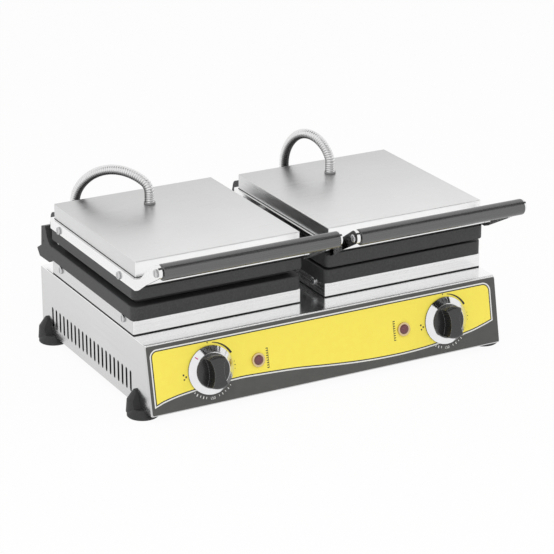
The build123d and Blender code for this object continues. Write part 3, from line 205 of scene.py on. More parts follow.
def brushed(name, tone_of, rough, contrast=0.05):
    """Rolled sheet with a fine grain: along X on tops and fronts, along Y on the sides; painted
    shade darkens its corners.

    tone_of is the sheet's brightness, or a function that makes it from the finish; the functions
    given here paint light and shade by place."""
    finish = Finish(name, Metallic=1.0)
    along_x = finish.noise((GRAIN_LONG, GRAIN_FINE, GRAIN_FINE), detail=3.0, rough=0.6)
    along_y = finish.noise((GRAIN_FINE, GRAIN_LONG, GRAIN_FINE), detail=3.0, rough=0.6)
    grain = finish.choose(finish.sideways(), along_x, along_y)
    clouds = finish.spread(finish.noise(CLOUD_SCALE, detail=3.0), -CLOUD, CLOUD)
    tone = finish.math("ADD", finish.spread(grain, -contrast, contrast), clouds)
    level = tone_of(finish) if callable(tone_of) else tone_of
    # Painted shade in corners and grooves.
    level = finish.math("MULTIPLY", level, finish.crevice_shade(0.0035, shade_level=0.25, start=0.2, end=0.62))
    level = finish.math("MULTIPLY", level, finish.math("ADD", tone, 1.0))
    finish.feed("Base Color", finish.grey(level))
    finish.feed("Roughness", finish.spread(grain, *rough))
    finish.bump(grain, GRAIN_DEPTH)
    return finish.material


# Places on the base and lids, in metres, and how bright the sheet is there. Apart from the frames'
# even tone, these brightnesses are painted light and shade: lit tops and fronts, shaded sides, a
# painted highlight and a dark line along the front fold, and a painted black inside. For the vents:
# the first one's Y, their pitch and last index; middle height, half the straight part, and the
# radius of the painted dark rim.
VENT_FIRST, VENT_PITCH, VENT_LAST = -0.1071, 0.0137, 20.0
VENT_MIDDLE, VENT_STRAIGHT, VENT_SHADE_RIM = 0.04275, 0.0122, 0.0030
DECK_EDGE_Z = 0.1105
FOLD_SHADE_Y = (-0.1535, -0.1520)
FOLD_HIGHLIGHT_Y = -0.1536
INSIDE_X, INSIDE_Y, INSIDE_Z = 0.28685, -0.145, 0.1095
DECK_LIT_TONE, FOLD_SHADE_TONE, FOLD_HIGHLIGHT_TONE, INSIDE_SHADE_TONE = 0.93, 0.42, 1.0, 0.02
SIDE_SHADE_TONES, SIDE_SPAN = (0.60, 0.66), (0.02, 0.11)
SKIRT_SIDE_SHADE_TONE, SKIRT_FRONT_LIT_TONE = 0.66, 0.86
FRAME_TONE, ARM_SHADE_TONE = 0.88, 0.05
ARM_FRONT_Y, ARM_LEFT_X = -0.131, 0.1
COVER_TOP_LIGHT_TONES, COVER_SPAN = (0.76, 0.59), (-0.12, 0.15)
COVER_SIDE_SHADE_TONE, COVER_FRONT_LIT_TONE = 0.71, 0.95


def vent_shade_mask(finish):
    """1 over each punched vent of the sides and on a thin rim round it, where dark painted shade
    goes.
    """
    row = finish.math("DIVIDE", finish.math("SUBTRACT", finish.along("Y"), VENT_FIRST), VENT_PITCH)
    nearest = finish.math("MINIMUM", finish.math("MAXIMUM", row, 0.0), VENT_LAST)
    nearest = finish.math("ROUND", nearest)
    across = finish.math("MULTIPLY", finish.math("SUBTRACT", row, nearest), VENT_PITCH)
    rise = finish.math("ABSOLUTE", finish.math("SUBTRACT", finish.along("Z"), VENT_MIDDLE))
    rise = finish.math("MAXIMUM", finish.math("SUBTRACT", rise, VENT_STRAIGHT), 0.0)
    square = finish.math("ADD", finish.math("MULTIPLY", across, across),
                         finish.math("MULTIPLY", rise, rise))
    near = finish.math("LESS_THAN", square, VENT_SHADE_RIM * VENT_SHADE_RIM)
    return finish.math("MULTIPLY", near, finish.sideways())


def base_painted_light(finish):
    """Painted light and shade: bright tops, greyer sides with dark vents and a dark inside, and the
    folded front edge with its two lines, a painted highlight and a dark band.
    """
    x, y, z = (finish.along(axis) for axis in "XYZ")
    # Painted light: the sides are greyer than the top and lighter upwards.
    side = finish.spread(z, *SIDE_SHADE_TONES, *SIDE_SPAN)
    tone = finish.choose(finish.faces("Z", 1.0), side, DECK_LIT_TONE)
    high = finish.math("GREATER_THAN", z, DECK_EDGE_Z)
    # Painted reflection of the rounded fold: a dark line, then a bright highlight along the front
    # edge.
    fold_shade = finish.math("MULTIPLY", finish.between(y, *FOLD_SHADE_Y), high)
    tone = finish.choose(fold_shade, tone, FOLD_SHADE_TONE)
    edge = finish.math("MULTIPLY", finish.math("LESS_THAN", y, FOLD_HIGHLIGHT_Y), high)
    tone = finish.choose(edge, tone, FOLD_HIGHLIGHT_TONE)
    # Painted shade: the inside seen through the vents, and a rim round each vent, near black.
    inside = finish.math("LESS_THAN", finish.math("ABSOLUTE", x), INSIDE_X)
    inside = finish.math("MULTIPLY", inside, finish.math("LESS_THAN", z, INSIDE_Z))
    inside = finish.math("MULTIPLY", inside, finish.math("GREATER_THAN", y, INSIDE_Y))
    return finish.choose(finish.math("MAXIMUM", inside, vent_shade_mask(finish)), tone, INSIDE_SHADE_TONE)


def skirt_painted_light(finish):
    """Painted light: brighter in front than on the sides."""
    return finish.choose(finish.faces("Y", -1.0), SKIRT_SIDE_SHADE_TONE, SKIRT_FRONT_LIT_TONE)


def arm_painted_shade(finish):
    """Painted shade: the right lid's left arm is dark on the side towards the other lid."""
    arm = finish.math("MULTIPLY", finish.faces("X", -1.0),
                      finish.math("LESS_THAN", finish.along("Y"), ARM_FRONT_Y))
    arm = finish.math("MULTIPLY", arm, finish.math("LESS_THAN", finish.along("X"), ARM_LEFT_X))
    return finish.choose(arm, FRAME_TONE, ARM_SHADE_TONE)


def cover_painted_light(finish):
    """Painted light: greyer at the back than at the front, greyer on the sides, and the front face
    is brightest.
    """
    tops = finish.spread(finish.along("Y"), *COVER_TOP_LIGHT_TONES, *COVER_SPAN)
    tone = finish.choose(finish.faces("Z", 1.0), COVER_SIDE_SHADE_TONE, tops)
    return finish.choose(finish.faces("Y", -1.0), tone, COVER_FRONT_LIT_TONE)


# Bevel radii of the painted edge highlights on castings and on moulded parts.
CAST_HIGHLIGHT_RADIUS, MOULDED_HIGHLIGHT_RADIUS = 0.0009, 0.0011


def cast_metal(name, color, edge, rough):
    """Coated casting: fine grit, a slow waviness, specks, and a painted highlight on its edges,
    uneven along them.
    """
    finish = Finish(name, Specular_IOR_Level=0.45)
    grit = finish.noise(900.0, detail=3.0, rough=0.65)
    waves = finish.noise(140.0, detail=2.0)
    specks = finish.noise(420.0, detail=1.0)
    height = finish.math("ADD", grit, finish.math("MULTIPLY", waves, 1.6))
    bump = finish.bump(height, 0.00012, 0.8)
    # Painted highlight on the edges, broken up by the waviness.
    edge_highlight_mask = finish.math("MULTIPLY", finish.edges(bump, CAST_HIGHLIGHT_RADIUS), finish.spread(waves, 0.45, 1.0))
    tone = finish.spread(specks, 0.0, 0.5, start=0.35, end=0.75)
    finish.feed("Base Color", finish.ramp(
        finish.math("MAXIMUM", tone, edge_highlight_mask), (0.0, color), (0.5, shade(color, 1.45)), (1.0, edge)))
    finish.feed("Roughness", finish.spread(grit, rough - 0.06, rough + 0.1))
    return finish.material


def plastic(name, color, rough, scale=260.0, depth=0.00002, sheen=1.12, edge=None, **sockets):
    """Moulded, printed or glazed: slight orange peel, uneven tone, and a painted highlight on the
    edges if asked.
    """
    finish = Finish(name, **sockets)
    peel = finish.noise(scale, detail=2.0)
    tone = finish.spread(finish.noise(scale * 0.3, detail=3.0), 0.0, 0.5)
    stops = [(0.0, color), (0.5, shade(color, sheen))]
    bump = finish.bump(peel, depth)
    # Painted highlight on the edges, in the colour edge.
    if edge:
        tone = finish.math("MAXIMUM", tone, finish.edges(bump, MOULDED_HIGHLIGHT_RADIUS))
        stops.append((1.0, edge))
    finish.feed("Base Color", finish.ramp(tone, *stops))
    finish.feed("Roughness", finish.spread(peel, rough - 0.04, rough + 0.05))
    return finish.material


def plated(name, color, rough, shaded_rim=False):
    """Plated metal with painted shade where it meets its neighbour and, if asked, painted shade on
    a dial's rim.
    """
    finish = Finish(name, Metallic=1.0)
    wear = finish.noise(500.0, detail=3.0)
    tone = finish.math("MULTIPLY", finish.spread(finish.noise(60.0, detail=2.0), 0.94, 1.0),
                       finish.crevice_shade(0.0025, shade_level=0.0, start=0.3, end=0.8))
    # Painted shade on the rim that turns away from the panel's front.
    if shaded_rim:
        outwards = finish.dot(finish.place.outputs["Normal"], tuple(OUT))
        tone = finish.math("MULTIPLY", tone, finish.spread(outwards, 0.0, 1.0, start=0.3, end=0.5))
    finish.feed("Base Color", finish.ramp(tone, (0.0, shade(color, 0.06)), (1.0, color)))
    finish.feed("Roughness", finish.spread(wear, rough, rough + 0.1))
    finish.bump(wear, 0.00001)
    return finish.material


def turned(name, color, rough):
    """Bar of glossy black plastic with fine lines along it."""
    finish = Finish(name, IOR=2.0)
    lines = finish.noise((18.0, 900.0, 900.0), detail=2.0)
    finish.feed("Base Color", finish.ramp(lines, (0.3, color), (0.7, shade(color, 1.5))))
    finish.feed("Roughness", finish.spread(lines, rough - 0.05, rough + 0.08))
    finish.bump(lines, 0.00002)
    return finish.material


def wound(name):
    """Ribbed steel hose with painted shade in the grooves and on the inside of its bends."""
    finish = Finish(name, Metallic=1.0)
    wear = finish.noise(300.0, detail=3.0)
    inner = finish.node("Attribute", attribute_name="inner").outputs["Fac"]
    # Painted shade: dark in the grooves and towards the inside of the bends.
    tone = finish.math("MULTIPLY", finish.crevice_shade(0.002, shade_level=0.25, start=0.25, end=0.8),
                       finish.spread(inner, 0.84, 0.07, start=0.42, end=0.80))
    tone = finish.math("MULTIPLY", tone, finish.spread(wear, 0.92, 1.0))
    finish.feed("Base Color", finish.grey(tone))
    finish.feed("Roughness", finish.spread(wear, 0.16, 0.28))
    finish.bump(wear, 0.00004)
    return finish.material


def woven(name, color):
    """Braided sleeve with diagonal threads."""
    finish = Finish(name, Roughness=0.85)
    weave = finish.node("TexWave", {"Vector": finish.place.outputs["Object"], "Scale": 420.0,
                                    "Distortion": 2.0, "Detail": 2.0},
                        bands_direction="DIAGONAL").outputs["Fac"]
    finish.feed("Base Color", finish.ramp(weave, (0.1, shade(color, 0.75)), (0.9, color)))
    finish.bump(weave, 0.0002)
    return finish.material


def tinted_lens(name):
    """Dark red plastic with small facets under a clear coat."""
    finish = Finish(name, Roughness=0.16, Coat_Weight=0.6, Coat_Roughness=0.08, IOR=1.5)
    cells = finish.node("TexVoronoi", {"Vector": finish.place.outputs["Object"], "Scale": 620.0})
    finish.feed("Base Color", finish.ramp(cells.outputs["Distance"], (0.1, (0.20, 0.045, 0.05)),
                                          (0.7, (0.11, 0.02, 0.028))))
    finish.bump(cells.outputs["Distance"], 0.0002)
    return finish.material


steel_base = brushed("brushed_base", base_painted_light, (0.14, 0.26), 0.04)
steel_skirt = brushed("brushed_skirt", skirt_painted_light, (0.16, 0.28), 0.04)
steel_frame = brushed("brushed_frame", FRAME_TONE, (0.10, 0.20), 0.03)
steel_shaded = brushed("brushed_shaded", arm_painted_shade, (0.10, 0.20), 0.03)
steel_cover = brushed("brushed_cover", cover_painted_light, (0.26, 0.38), 0.02)
steel_dark = brushed("brushed_oxidised", 0.21, (0.4, 0.55))
steel_plain = brushed("brushed_plain", 0.45, (0.25, 0.4))
casting = cast_metal("black_casting", (0.036, 0.036, 0.037), (0.16, 0.16, 0.16), 0.5)
black_knob = plastic("black_knob", (0.010, 0.010, 0.011), 0.28, 420.0, edge=(0.26, 0.26, 0.26),
                     IOR=1.66)
black_grip = turned("black_grip", (0.034, 0.034, 0.035), 0.24)
rubber = plastic("black_rubber", (0.022, 0.022, 0.023), 0.58, 700.0, 0.00004)
moulded_black = plastic("moulded_black", (0.02, 0.02, 0.02), 0.45)
# Near-black material for the strips of painted shade in gaps.
gap_shade_black = plastic("gap_shade_black", (0.006, 0.006, 0.006), 0.75, 500.0)
ceramic = plastic("glazed_ceramic", (0.74, 0.70, 0.62), 0.22, 90.0, 0.00005, 1.06)
mineral = plastic("mineral_board", (0.62, 0.58, 0.50), 0.9, 900.0, 0.0003, 1.2)
fascia_grey = plastic("panel_grey", (0.070, 0.070, 0.067), 0.42, 300.0)
print_yellow = plastic("print_yellow", (1.0, 0.83, 0.10), 0.38, 350.0, 0.00001, 1.03)
print_white = plastic("print_white", (0.82, 0.82, 0.80), 0.4, 350.0, 0.00001, 1.03)
print_black = plastic("print_black", (0.012, 0.012, 0.012), 0.4, 350.0, 0.00001)
print_red = plastic("print_red", (0.55, 0.05, 0.22), 0.4, 350.0, 0.00001)
chrome = plated("chrome", (0.84, 0.84, 0.85), 0.06, shaded_rim=True)
nickel = plated("nickel", (0.34, 0.34, 0.34), 0.25)
zinc = plated("bright_zinc", (0.62, 0.62, 0.63), 0.2)
bezel_metal = plated("bezel_metal", (0.70, 0.53, 0.31), 0.18)
aluminium = plated("stamped_aluminium", (0.62, 0.62, 0.62), 0.3)
hose_metal = wound("hose_metal")
sleeving = woven("glass_sleeving", (0.72, 0.69, 0.58))
lens = tinted_lens("tinted_lens")

FINISHES = {
    steel_base: ("base_housing",),
    steel_plain: ("rear_panel", "bottom_plate"),
    steel_skirt: ("lower_skirt_*",),
    steel_frame: ("lid_frame_left",),
    steel_shaded: ("lid_frame_right",),
    steel_cover: ("lid_cover_*",),
    steel_dark: ("lower_element_*", "upper_element_*"),
    casting: ("lower_plate_*", "upper_plate_*"),
    black_knob: ("knob_*",),
    black_grip: ("handle_grip_*",),
    rubber: ("foot_front_*", "foot_rear_*"),
    moulded_black: ("cord_gland",),
    ceramic: ("terminal_block",),
    mineral: ("lower_insulation_*", "upper_insulation_*"),
    fascia_grey: ("front_fascia",),
    chrome: ("knob_skirt_*",),
    nickel: ("conduit_socket_*", "lid_gland_*"),
    zinc: ("chassis_screws", "skirt_screws", "hinge_clips", "hinge_pins_*", "handle_screws_*",
           "lid_screws_*", "handle_rod_*", "spindle_*"),
    bezel_metal: ("lamp_bezel_*",),
    aluminium: ("thermostat_*",),
    hose_metal: ("conduit_*",),
    sleeving: ("wiring_loom",),
    lens: ("lamp_lens_*",),
}


def paint(thing, material):
    thing.data.materials.clear()
    thing.data.materials.append(material)


def paint_nodes():
    for material, names in FINISHES.items():
        for name in names:
            for side in SIDES if name.endswith("*") else ("",):
                paint(nodes[name.replace("*", side)], material)


paint_nodes()

# ---------------------------------------------------------------- building helpers

MERGE_DISTANCE = 2e-6
MITRE_LIMIT = 0.3


def add_piece(name, mesh, body, material, smooth=False):
    """Piece of the visual model; one that rides on no single body gets body None."""
    piece = bpy.data.objects.new(name, mesh)
    bpy.context.scene.collection.objects.link(piece)
    paint(piece, material)
    for polygon in mesh.polygons:
        polygon.use_smooth = smooth
    if body:
        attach(piece, body)
    return piece


def evaluated_mesh(name, curve):
    """Mesh that a curve makes; the curve's holder is removed again."""
    holder = bpy.data.objects.new(name, curve)
    bpy.context.scene.collection.objects.link(holder)
    bpy.context.view_layer.update()
    graph = bpy.context.evaluated_depsgraph_get()
    mesh = bpy.data.meshes.new_from_object(holder.evaluated_get(graph))
    bpy.data.objects.remove(holder)
    return mesh


def finish_mesh(name, solid):
    """Mesh from a closed bmesh with its faces turned outwards."""
    bmesh.ops.recalc_face_normals(solid, faces=solid.faces)
    mesh = bpy.data.meshes.new(name)
    solid.to_mesh(mesh)
    solid.free()
    return mesh


def plate_mesh(name, loops, low, high, place=Matrix.Identity(4)):
    """Flat plate between two heights, filled between closed loops of 2D points in mm."""
    curve = bpy.data.curves.new(name, "CURVE")
    curve.dimensions = "2D"
    curve.fill_mode = "BOTH"
    curve.extrude = (high - low) / 2 * MM
    for loop in loops:
        spline = curve.splines.new("POLY")
        spline.points.add(len(loop) - 1)
        for point, (x, y) in zip(spline.points, loop):
            point.co = (x * MM, y * MM, 0.0, 1.0)
        spline.use_cyclic_u = True
    mesh = evaluated_mesh(name, curve)
    mesh.transform(place @ Matrix.Translation((0, 0, (low + high) / 2 * MM)))
    solid = bmesh.new()
    solid.from_mesh(mesh)
    bmesh.ops.remove_doubles(solid, verts=solid.verts, dist=MERGE_DISTANCE)
    bmesh.ops.recalc_face_normals(solid, faces=solid.faces)
    solid.to_mesh(mesh)
    solid.free()
    return mesh


def circle(x, y, radius, count=48):
    return [(x + radius * cos(2 * pi * k / count), y + radius * sin(2 * pi * k / count))
            for k in range(count)]


def rounded(x0, x1, y0, y1, radius, count=6):
    """Rectangle with rounded corners."""
    points = []
    for cx, cy, start in ((x1 - radius, y1 - radius, 0), (x0 + radius, y1 - radius, 90),
                          (x0 + radius, y0 + radius, 180), (x1 - radius, y0 + radius, 270)):
        for k in range(count + 1):
            angle = radians(start + 90 * k / count)
            points.append((cx + radius * cos(angle), cy + radius * sin(angle)))
    return points


def outset(loop, distance):
    """Every side of a closed loop moved outwards by a distance."""
    count = len(loop)
    area = sum(loop[k][0] * loop[(k + 1) % count][1] - loop[(k + 1) % count][0] * loop[k][1]
               for k in range(count))
    sign = 1.0 if area > 0 else -1.0
    moved = []
    for k in range(count):
        (xa, ya), (xb, yb), (xc, yc) = loop[k - 1], loop[k], loop[(k + 1) % count]
        la, lb = hypot(xb - xa, yb - ya), hypot(xc - xb, yc - yb)
        na = Vector(((yb - ya) / la, -(xb - xa) / la)) * sign
        nb = Vector(((yc - yb) / lb, -(xc - xb) / lb)) * sign
        middle = (na + nb).normalized()
        reach = distance / max(MITRE_LIMIT, middle.dot(na))
        moved.append((xb + middle.x * reach, yb + middle.y * reach))
    return moved


# ---------------------------------------------------------------- printed panel

# Sizes in mm. X is from the panel's middle, and Y upwards from its top edge; the field's numbers
# are from the panel's left edge and downwards. FACE is the panel's front, INK a layer of print.
HALF_WIDTH = 287.0
PANEL_TOP = Vector((0.0, -154.9, 111.6)) * MM
PANEL = Matrix.Translation(PANEL_TOP) @ Matrix((Vector((1, 0, 0)), UP, OUT)).transposed().to_4x4()
FACE = 0.8
INK = 0.06
CONTROL_DOWN = 51.5
KNOB_X = (-191.0, 195.5)
LAMP_X = (-116.0, 123.6)
KNOB_HOLE, LAMP_HOLE = 20.0, 10.05
FIELD_LEFT, FIELD_RIGHT, FIELD_TOP = 9.35, 560.35, 10.85
FIELD_CORNERS = (7.5, 10.0)
BLACK_LINE, WHITE_LINE = 1.6, 3.6
FIELD_LOW = ((560.35, 63.9), (550, 67.0), (524.4, 73.3), (461.7, 81.9), (420, 84.7), (376, 84.9),
             (330, 82.9), (280, 78.6), (230, 73.7), (170, 70.5), (142.5, 69.6), (100, 71.2),
             (60, 74.7), (40, 77.3), (20, 81.4), (9.35, 85.0))
CORNER_STEPS = 8

# Marks round each knob: clock angles in degrees, radii and widths in mm.
POINTER = ((-3.4, 40.2), (0.2, 40.2), (-1.6, 37.4))
ARC_ANGLES, ARC_INNER, ARC_OUTER = (9, 62), (38.3, 37.0), (39.4, 40.4)
DARK_TICKS = ((-95, 37.4, 39.8, 2.6), (-90, 41.0, 43.4, 2.6), (-99, 41.0, 43.2, 2.2),
              (82, 37.6, 38.8, 0.8), (90, 37.6, 39.6, 0.8), (98, 37.6, 38.8, 0.8))
PALE_INNER = 38.4
PALE_TICKS = ((224, 40.6, 1.0), (217, 42.0, 1.4), (209, 41.6, 0.9), (202, 42.2, 1.3),
              (195, 41.6, 0.9), (166, 41.4, 0.9), (158, 41.6, 1.3), (150, 40.8, 0.9),
              (142, 41.2, 1.2), (134, 40.4, 0.8))
NUMERALS, NUMERAL_SIZE, NUMERAL_ANGLE, NUMERAL_RADIUS = "150", 5.6, 181, 41.0
COMB_OFFSET = 16.3


def smooth_through(points, steps=6):
    """Cubic curve through the points, whose x runs one way."""
    slopes = []
    for k in range(len(points)):
        a, b = points[max(0, k - 1)], points[min(len(points) - 1, k + 1)]
        slopes.append((b[1] - a[1]) / (b[0] - a[0]))
    made = []
    for (xa, ya), (xb, yb), sa, sb in zip(points, points[1:], slopes, slopes[1:]):
        for k in range(steps):
            t, h = k / steps, xb - xa
            y = (2 * t**3 - 3 * t * t + 1) * ya + (t**3 - 2 * t * t + t) * h * sa
            y += (3 * t * t - 2 * t**3) * yb + (t**3 - t * t) * h * sb
            made.append((xa + t * h, y))
    return made + [points[-1]]


def field_outline():
    """Edge of the coloured field: x from the panel's middle, y upwards from its top edge."""
    left, right = FIELD_CORNERS
    points = []
    for middle, radius, start in ((FIELD_LEFT + left, left, 180), (FIELD_RIGHT - right, right, 90)):
        for k in range(CORNER_STEPS + 1):
            angle = radians(start - 90 * k / CORNER_STEPS)
            points.append((middle + radius * cos(angle), FIELD_TOP + radius - radius * sin(angle)))
    points += smooth_through(FIELD_LOW)
    return [(x - HALF_WIDTH, -v) for x, v in points]


def on_dial(side, angle, radius):
    """Panel point at a clock angle in degrees and a radius round a knob."""
    turn = radians(angle)
    return (KNOB_X[side] + radius * sin(turn), -CONTROL_DOWN + radius * cos(turn))


def arc_band(side, start, end, inner, outer, steps=14):
    """Band round a knob whose inner and outer radii run from one pair of values to another."""
    rim, back = [], []
    for k in range(steps + 1):
        t = k / steps
        angle = start + (end - start) * t
        rim.append(on_dial(side, angle, outer[0] + (outer[1] - outer[0]) * t))
        back.append(on_dial(side, angle, inner[0] + (inner[1] - inner[0]) * t))
    return rim + back[::-1]


def tick(side, angle, inner, outer, width):
    """Short straight mark that points at a knob's middle."""
    half = width / 2
    x, y = cos(radians(angle)) * half, -sin(radians(angle)) * half
    (xa, ya), (xb, yb) = on_dial(side, angle, inner), on_dial(side, angle, outer)
    return [(xa - x, ya - y), (xa + x, ya + y), (xb + x, yb + y), (xb - x, yb - y)]


def comb(x, y, lean, teeth=9, pitch=3.5, spine=0.6, length=2.8, thick=1.4):
    """Outline of a thin upright line with short teeth to one side; lean is that side's sign."""
    low, half = y - pitch * (teeth - 1) / 2, thick / 2
    back, tips = x - lean * spine, x + lean * length
    points = [(back, low + pitch * (teeth - 1) + half), (back, low - half)]
    for k in range(teeth):
        middle = low + k * pitch
        points += [(tips, middle - half), (tips, middle + half)]
        if k < teeth - 1:
            points += [(x, middle + half), (x, middle + pitch - half)]
    return points


def numerals(side):
    """Upright numerals of one layer of ink, on the panel below a knob."""
    curve = bpy.data.curves.new("numerals", "FONT")
    curve.body = NUMERALS
    curve.size = NUMERAL_SIZE * MM
    curve.align_x = curve.align_y = "CENTER"
    curve.extrude = INK / 2 * MM
    mesh = evaluated_mesh("numerals", curve)
    x, y = on_dial(side, NUMERAL_ANGLE, NUMERAL_RADIUS)
    lift = FACE + INK * 1.5
    mesh.transform(PANEL @ Matrix.Translation((x * MM, y * MM, lift * MM)))
    return mesh


def make_print():
    """Layers of ink on the panel: two borders, the coloured field, the marks of the controls."""
    field = field_outline()
    holes = [circle(x, -CONTROL_DOWN, LAMP_HOLE) for x in LAMP_X]
    holes += [circle(x, -CONTROL_DOWN, KNOB_HOLE) for x in KNOB_X]
    layers = (("panel_border_white", WHITE_LINE, print_white),
              ("panel_border_black", BLACK_LINE, print_black),
              ("panel_field", 0.0, print_yellow))
    for k, (name, distance, material) in enumerate(layers):
        loop = outset(field, distance) if distance else field
        mesh = plate_mesh(name, [loop] + holes, FACE + k * INK, FACE + (k + 1) * INK, PANEL)
        add_piece(name, mesh, "base", material)
    top = FACE + len(layers) * INK
    for side, name in enumerate(SIDES):
        lean = (-1, 1)[side]
        dark = [[on_dial(side, *corner) for corner in POINTER],
                arc_band(side, *ARC_ANGLES, ARC_INNER, ARC_OUTER)]
        dark += [tick(side, *sizes) for sizes in DARK_TICKS]
        dark.append(comb(LAMP_X[side] - lean * COMB_OFFSET, -CONTROL_DOWN, lean))
        mesh = plate_mesh(f"panel_marks_{name}", dark, top, top + INK, PANEL)
        add_piece(f"panel_marks_{name}", mesh, "base", print_black)
        pale = [tick(side, angle, PALE_INNER, outer, width) for angle, outer, width in PALE_TICKS]
        mesh = plate_mesh(f"panel_scale_{name}", pale, FACE, FACE + INK, PANEL)
        add_piece(f"panel_scale_{name}", mesh, "base", print_white)
        add_piece(f"panel_numerals_{name}", numerals(side), "base", print_white)


make_print()

# ---------------------------------------------------------------- dial marks

# The skirt's slope in mm: its height, radii at foot and top, and the foot's place off the panel.
SKIRT_RISE, SKIRT_WIDE, SKIRT_NARROW = 6.6, 35.0, 26.5
SKIRT_FOOT = 3.0
DIAL_MARKS = ((-46, 1.5, print_red), (2, 1.2, print_black), (12, 0.9, print_black),
              (-8, 0.8, print_black))
MARK_START, MARK_END = 0.25, 0.75
MARK_LOW, MARK_HIGH = -0.05, 0.08
BLOCK_FACES = ((3, 2, 1, 0), (4, 5, 6, 7), (0, 1, 5, 4), (1, 2, 6, 5), (2, 3, 7, 6), (3, 0, 4, 7))


def dial_mark(name, angle, width):
    """Thin block that lies on the slope of a dial skirt, whose middle is at the origin."""
    turn = radians(angle)
    out, across = Vector((sin(turn), cos(turn), 0)), Vector((cos(turn), -sin(turn), 0))
    slope = Vector((0, 0, SKIRT_RISE)) + out * (SKIRT_NARROW - SKIRT_WIDE)
    normal = across.cross(slope).normalized()
    if normal.z < 0:
        normal = -normal
    solid = bmesh.new()
    corners = []
    for lift in (MARK_LOW, MARK_HIGH):
        for share, hand in ((MARK_START, -1), (MARK_START, 1), (MARK_END, 1), (MARK_END, -1)):
            point = out * SKIRT_WIDE + slope * share + across * (hand * width / 2) + normal * lift
            corners.append(solid.verts.new(point * MM))
    for face in BLOCK_FACES:
        solid.faces.new([corners[k] for k in face])
    return finish_mesh(name, solid)


def make_dial_marks():
    """Marks printed on the sloping face of each dial skirt; only the left one has the red mark."""
    for side, name in enumerate(SIDES):
        place = Vector((KNOB_X[side], -CONTROL_DOWN, SKIRT_FOOT)) * MM
        for k, (angle, width, material) in enumerate(DIAL_MARKS[side:]):
            mesh = dial_mark(f"dial_mark_{name}_{k}", angle, width)
            mesh.transform(PANEL @ Matrix.Translation(place))
            add_piece(f"dial_mark_{name}_{k}", mesh, f"dial_{name}", material)


make_dial_marks()

# ---------------------------------------------------------------- painted shade in gaps

# Insets of the outer and inner outline from the sheet's box, their corner radii, and the top.
SKIRT_GAP_SHADE = ((0.15, 1.5), (2.9, 1.0), 1.78)
COVER_GAP_SHADE = ((-0.5, 1.6), (0.02, 1.0), 0.55)
GAP_SHADE_LIFT = 0.02


def gap_shade_mesh(name, low, high, sizes):
    """Thin black frame at the foot of a box of sheet: a dark strip of painted shade in the gap
    there.
    """
    low, high = low / MM, high / MM
    *outlines, top = sizes
    loops = [rounded(low.x + inset, high.x - inset, low.y + inset, high.y - inset, radius)
             for inset, radius in outlines]
    return plate_mesh(name, loops, low.z + GAP_SHADE_LIFT, low.z + top)


def make_gap_shades():
    """Black lines of painted shade under the skirts of the base and under the covers of the lids.
    """
    for side in SIDES:
        low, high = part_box(f"lower_skirt_{side}")
        mesh = gap_shade_mesh(f"skirt_gap_shade_{side}", low, high, SKIRT_GAP_SHADE)
        add_piece(f"skirt_gap_shade_{side}", mesh, "base", gap_shade_black)
        low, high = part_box(f"lid_cover_{side}")
        mesh = gap_shade_mesh(f"cover_gap_shade_{side}", low, high, COVER_GAP_SHADE)
        add_piece(f"cover_gap_shade_{side}", mesh, f"lid_{side}", gap_shade_black)


make_gap_shades()

# ---------------------------------------------------------------- conduits

# Sizes in mm. Each bend is a radius and the angle from upright at its end; RIB is one rib's
# outline as shares of the pitch and of the step from groove to rib.
HOSE_RADIUS, HOSE_GROOVE, HOSE_BORE = 7.49, 6.55, 5.2
HOSE_PITCH, HOSE_STRAIGHT = 3.4, 15.0
HOSE_FOOT = ((-157.0, 95.1), (150.0, 99.1))
HOSE_LEG = ((-235.0, 191.1), (120.0, 191.1))
HOSE_BENDS = (((20.6, 58.0), (77.6, 144.0)), ((20.0, 22.0), (46.0, 128.0)))
RIB = ((0.0, 0.0), (0.12, 0.35), (0.22, 0.86), (0.34, 1.0), (0.58, 1.0), (0.72, 0.86),
       (0.82, 0.35), (0.92, 0.0))
HOSE_SIDES = 36
BORE_STEPS = 80
GLAND_DEPTH = 1.9


def hose_route(side):
    """Function from a distance along the hose to its point and directions, and the hose's length.

    It rises from its foot on the lid, bends over in an upright plane, and drops to the deck.
    Each part holds: start, length, distance from the foot, height, angle turned, radius."""
    leg_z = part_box(f"conduit_{SIDES[side]}")[0].z / MM
    foot_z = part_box(f"lid_gland_{SIDES[side]}")[1].z / MM - GLAND_DEPTH
    foot, leg = Vector(HOSE_FOOT[side]), Vector(HOSE_LEG[side])
    ahead = (leg - foot).normalized()
    span = (leg - foot).length
    parts = [(0.0, HOSE_STRAIGHT, 0.0, foot_z, 0.0, 0.0)]
    start, u, z, turned = HOSE_STRAIGHT, 0.0, foot_z + HOSE_STRAIGHT, 0.0
    for radius, angle in HOSE_BENDS[side] + ((None, 180.0),):
        end = radians(angle)
        if radius is None:
            radius = (span - u) / (cos(turned) - cos(end))
        length = radius * (end - turned)
        parts.append((start, length, u, z, turned, radius))
        start += length
        u += radius * (cos(turned) - cos(end))
        z += radius * (sin(end) - sin(turned))
        turned = end
    parts.append((start, z - leg_z, u, z, turned, 0.0))

    def at(s):
        for start, length, u, z, turned, radius in parts:
            if s <= start + length:
                break
        done = s - start
        angle = turned
        if radius:
            angle = turned + done / radius
            u += radius * (cos(turned) - cos(angle))
            z += radius * (sin(angle) - sin(turned))
        else:
            u += sin(angle) * done
            z += cos(angle) * done
        flat = foot + ahead * u
        along = Vector((ahead.x * sin(angle), ahead.y * sin(angle), cos(angle)))
        return Vector((flat.x, flat.y, z)), along, Vector((ahead.y, -ahead.x, 0.0))

    return at, start + z - leg_z


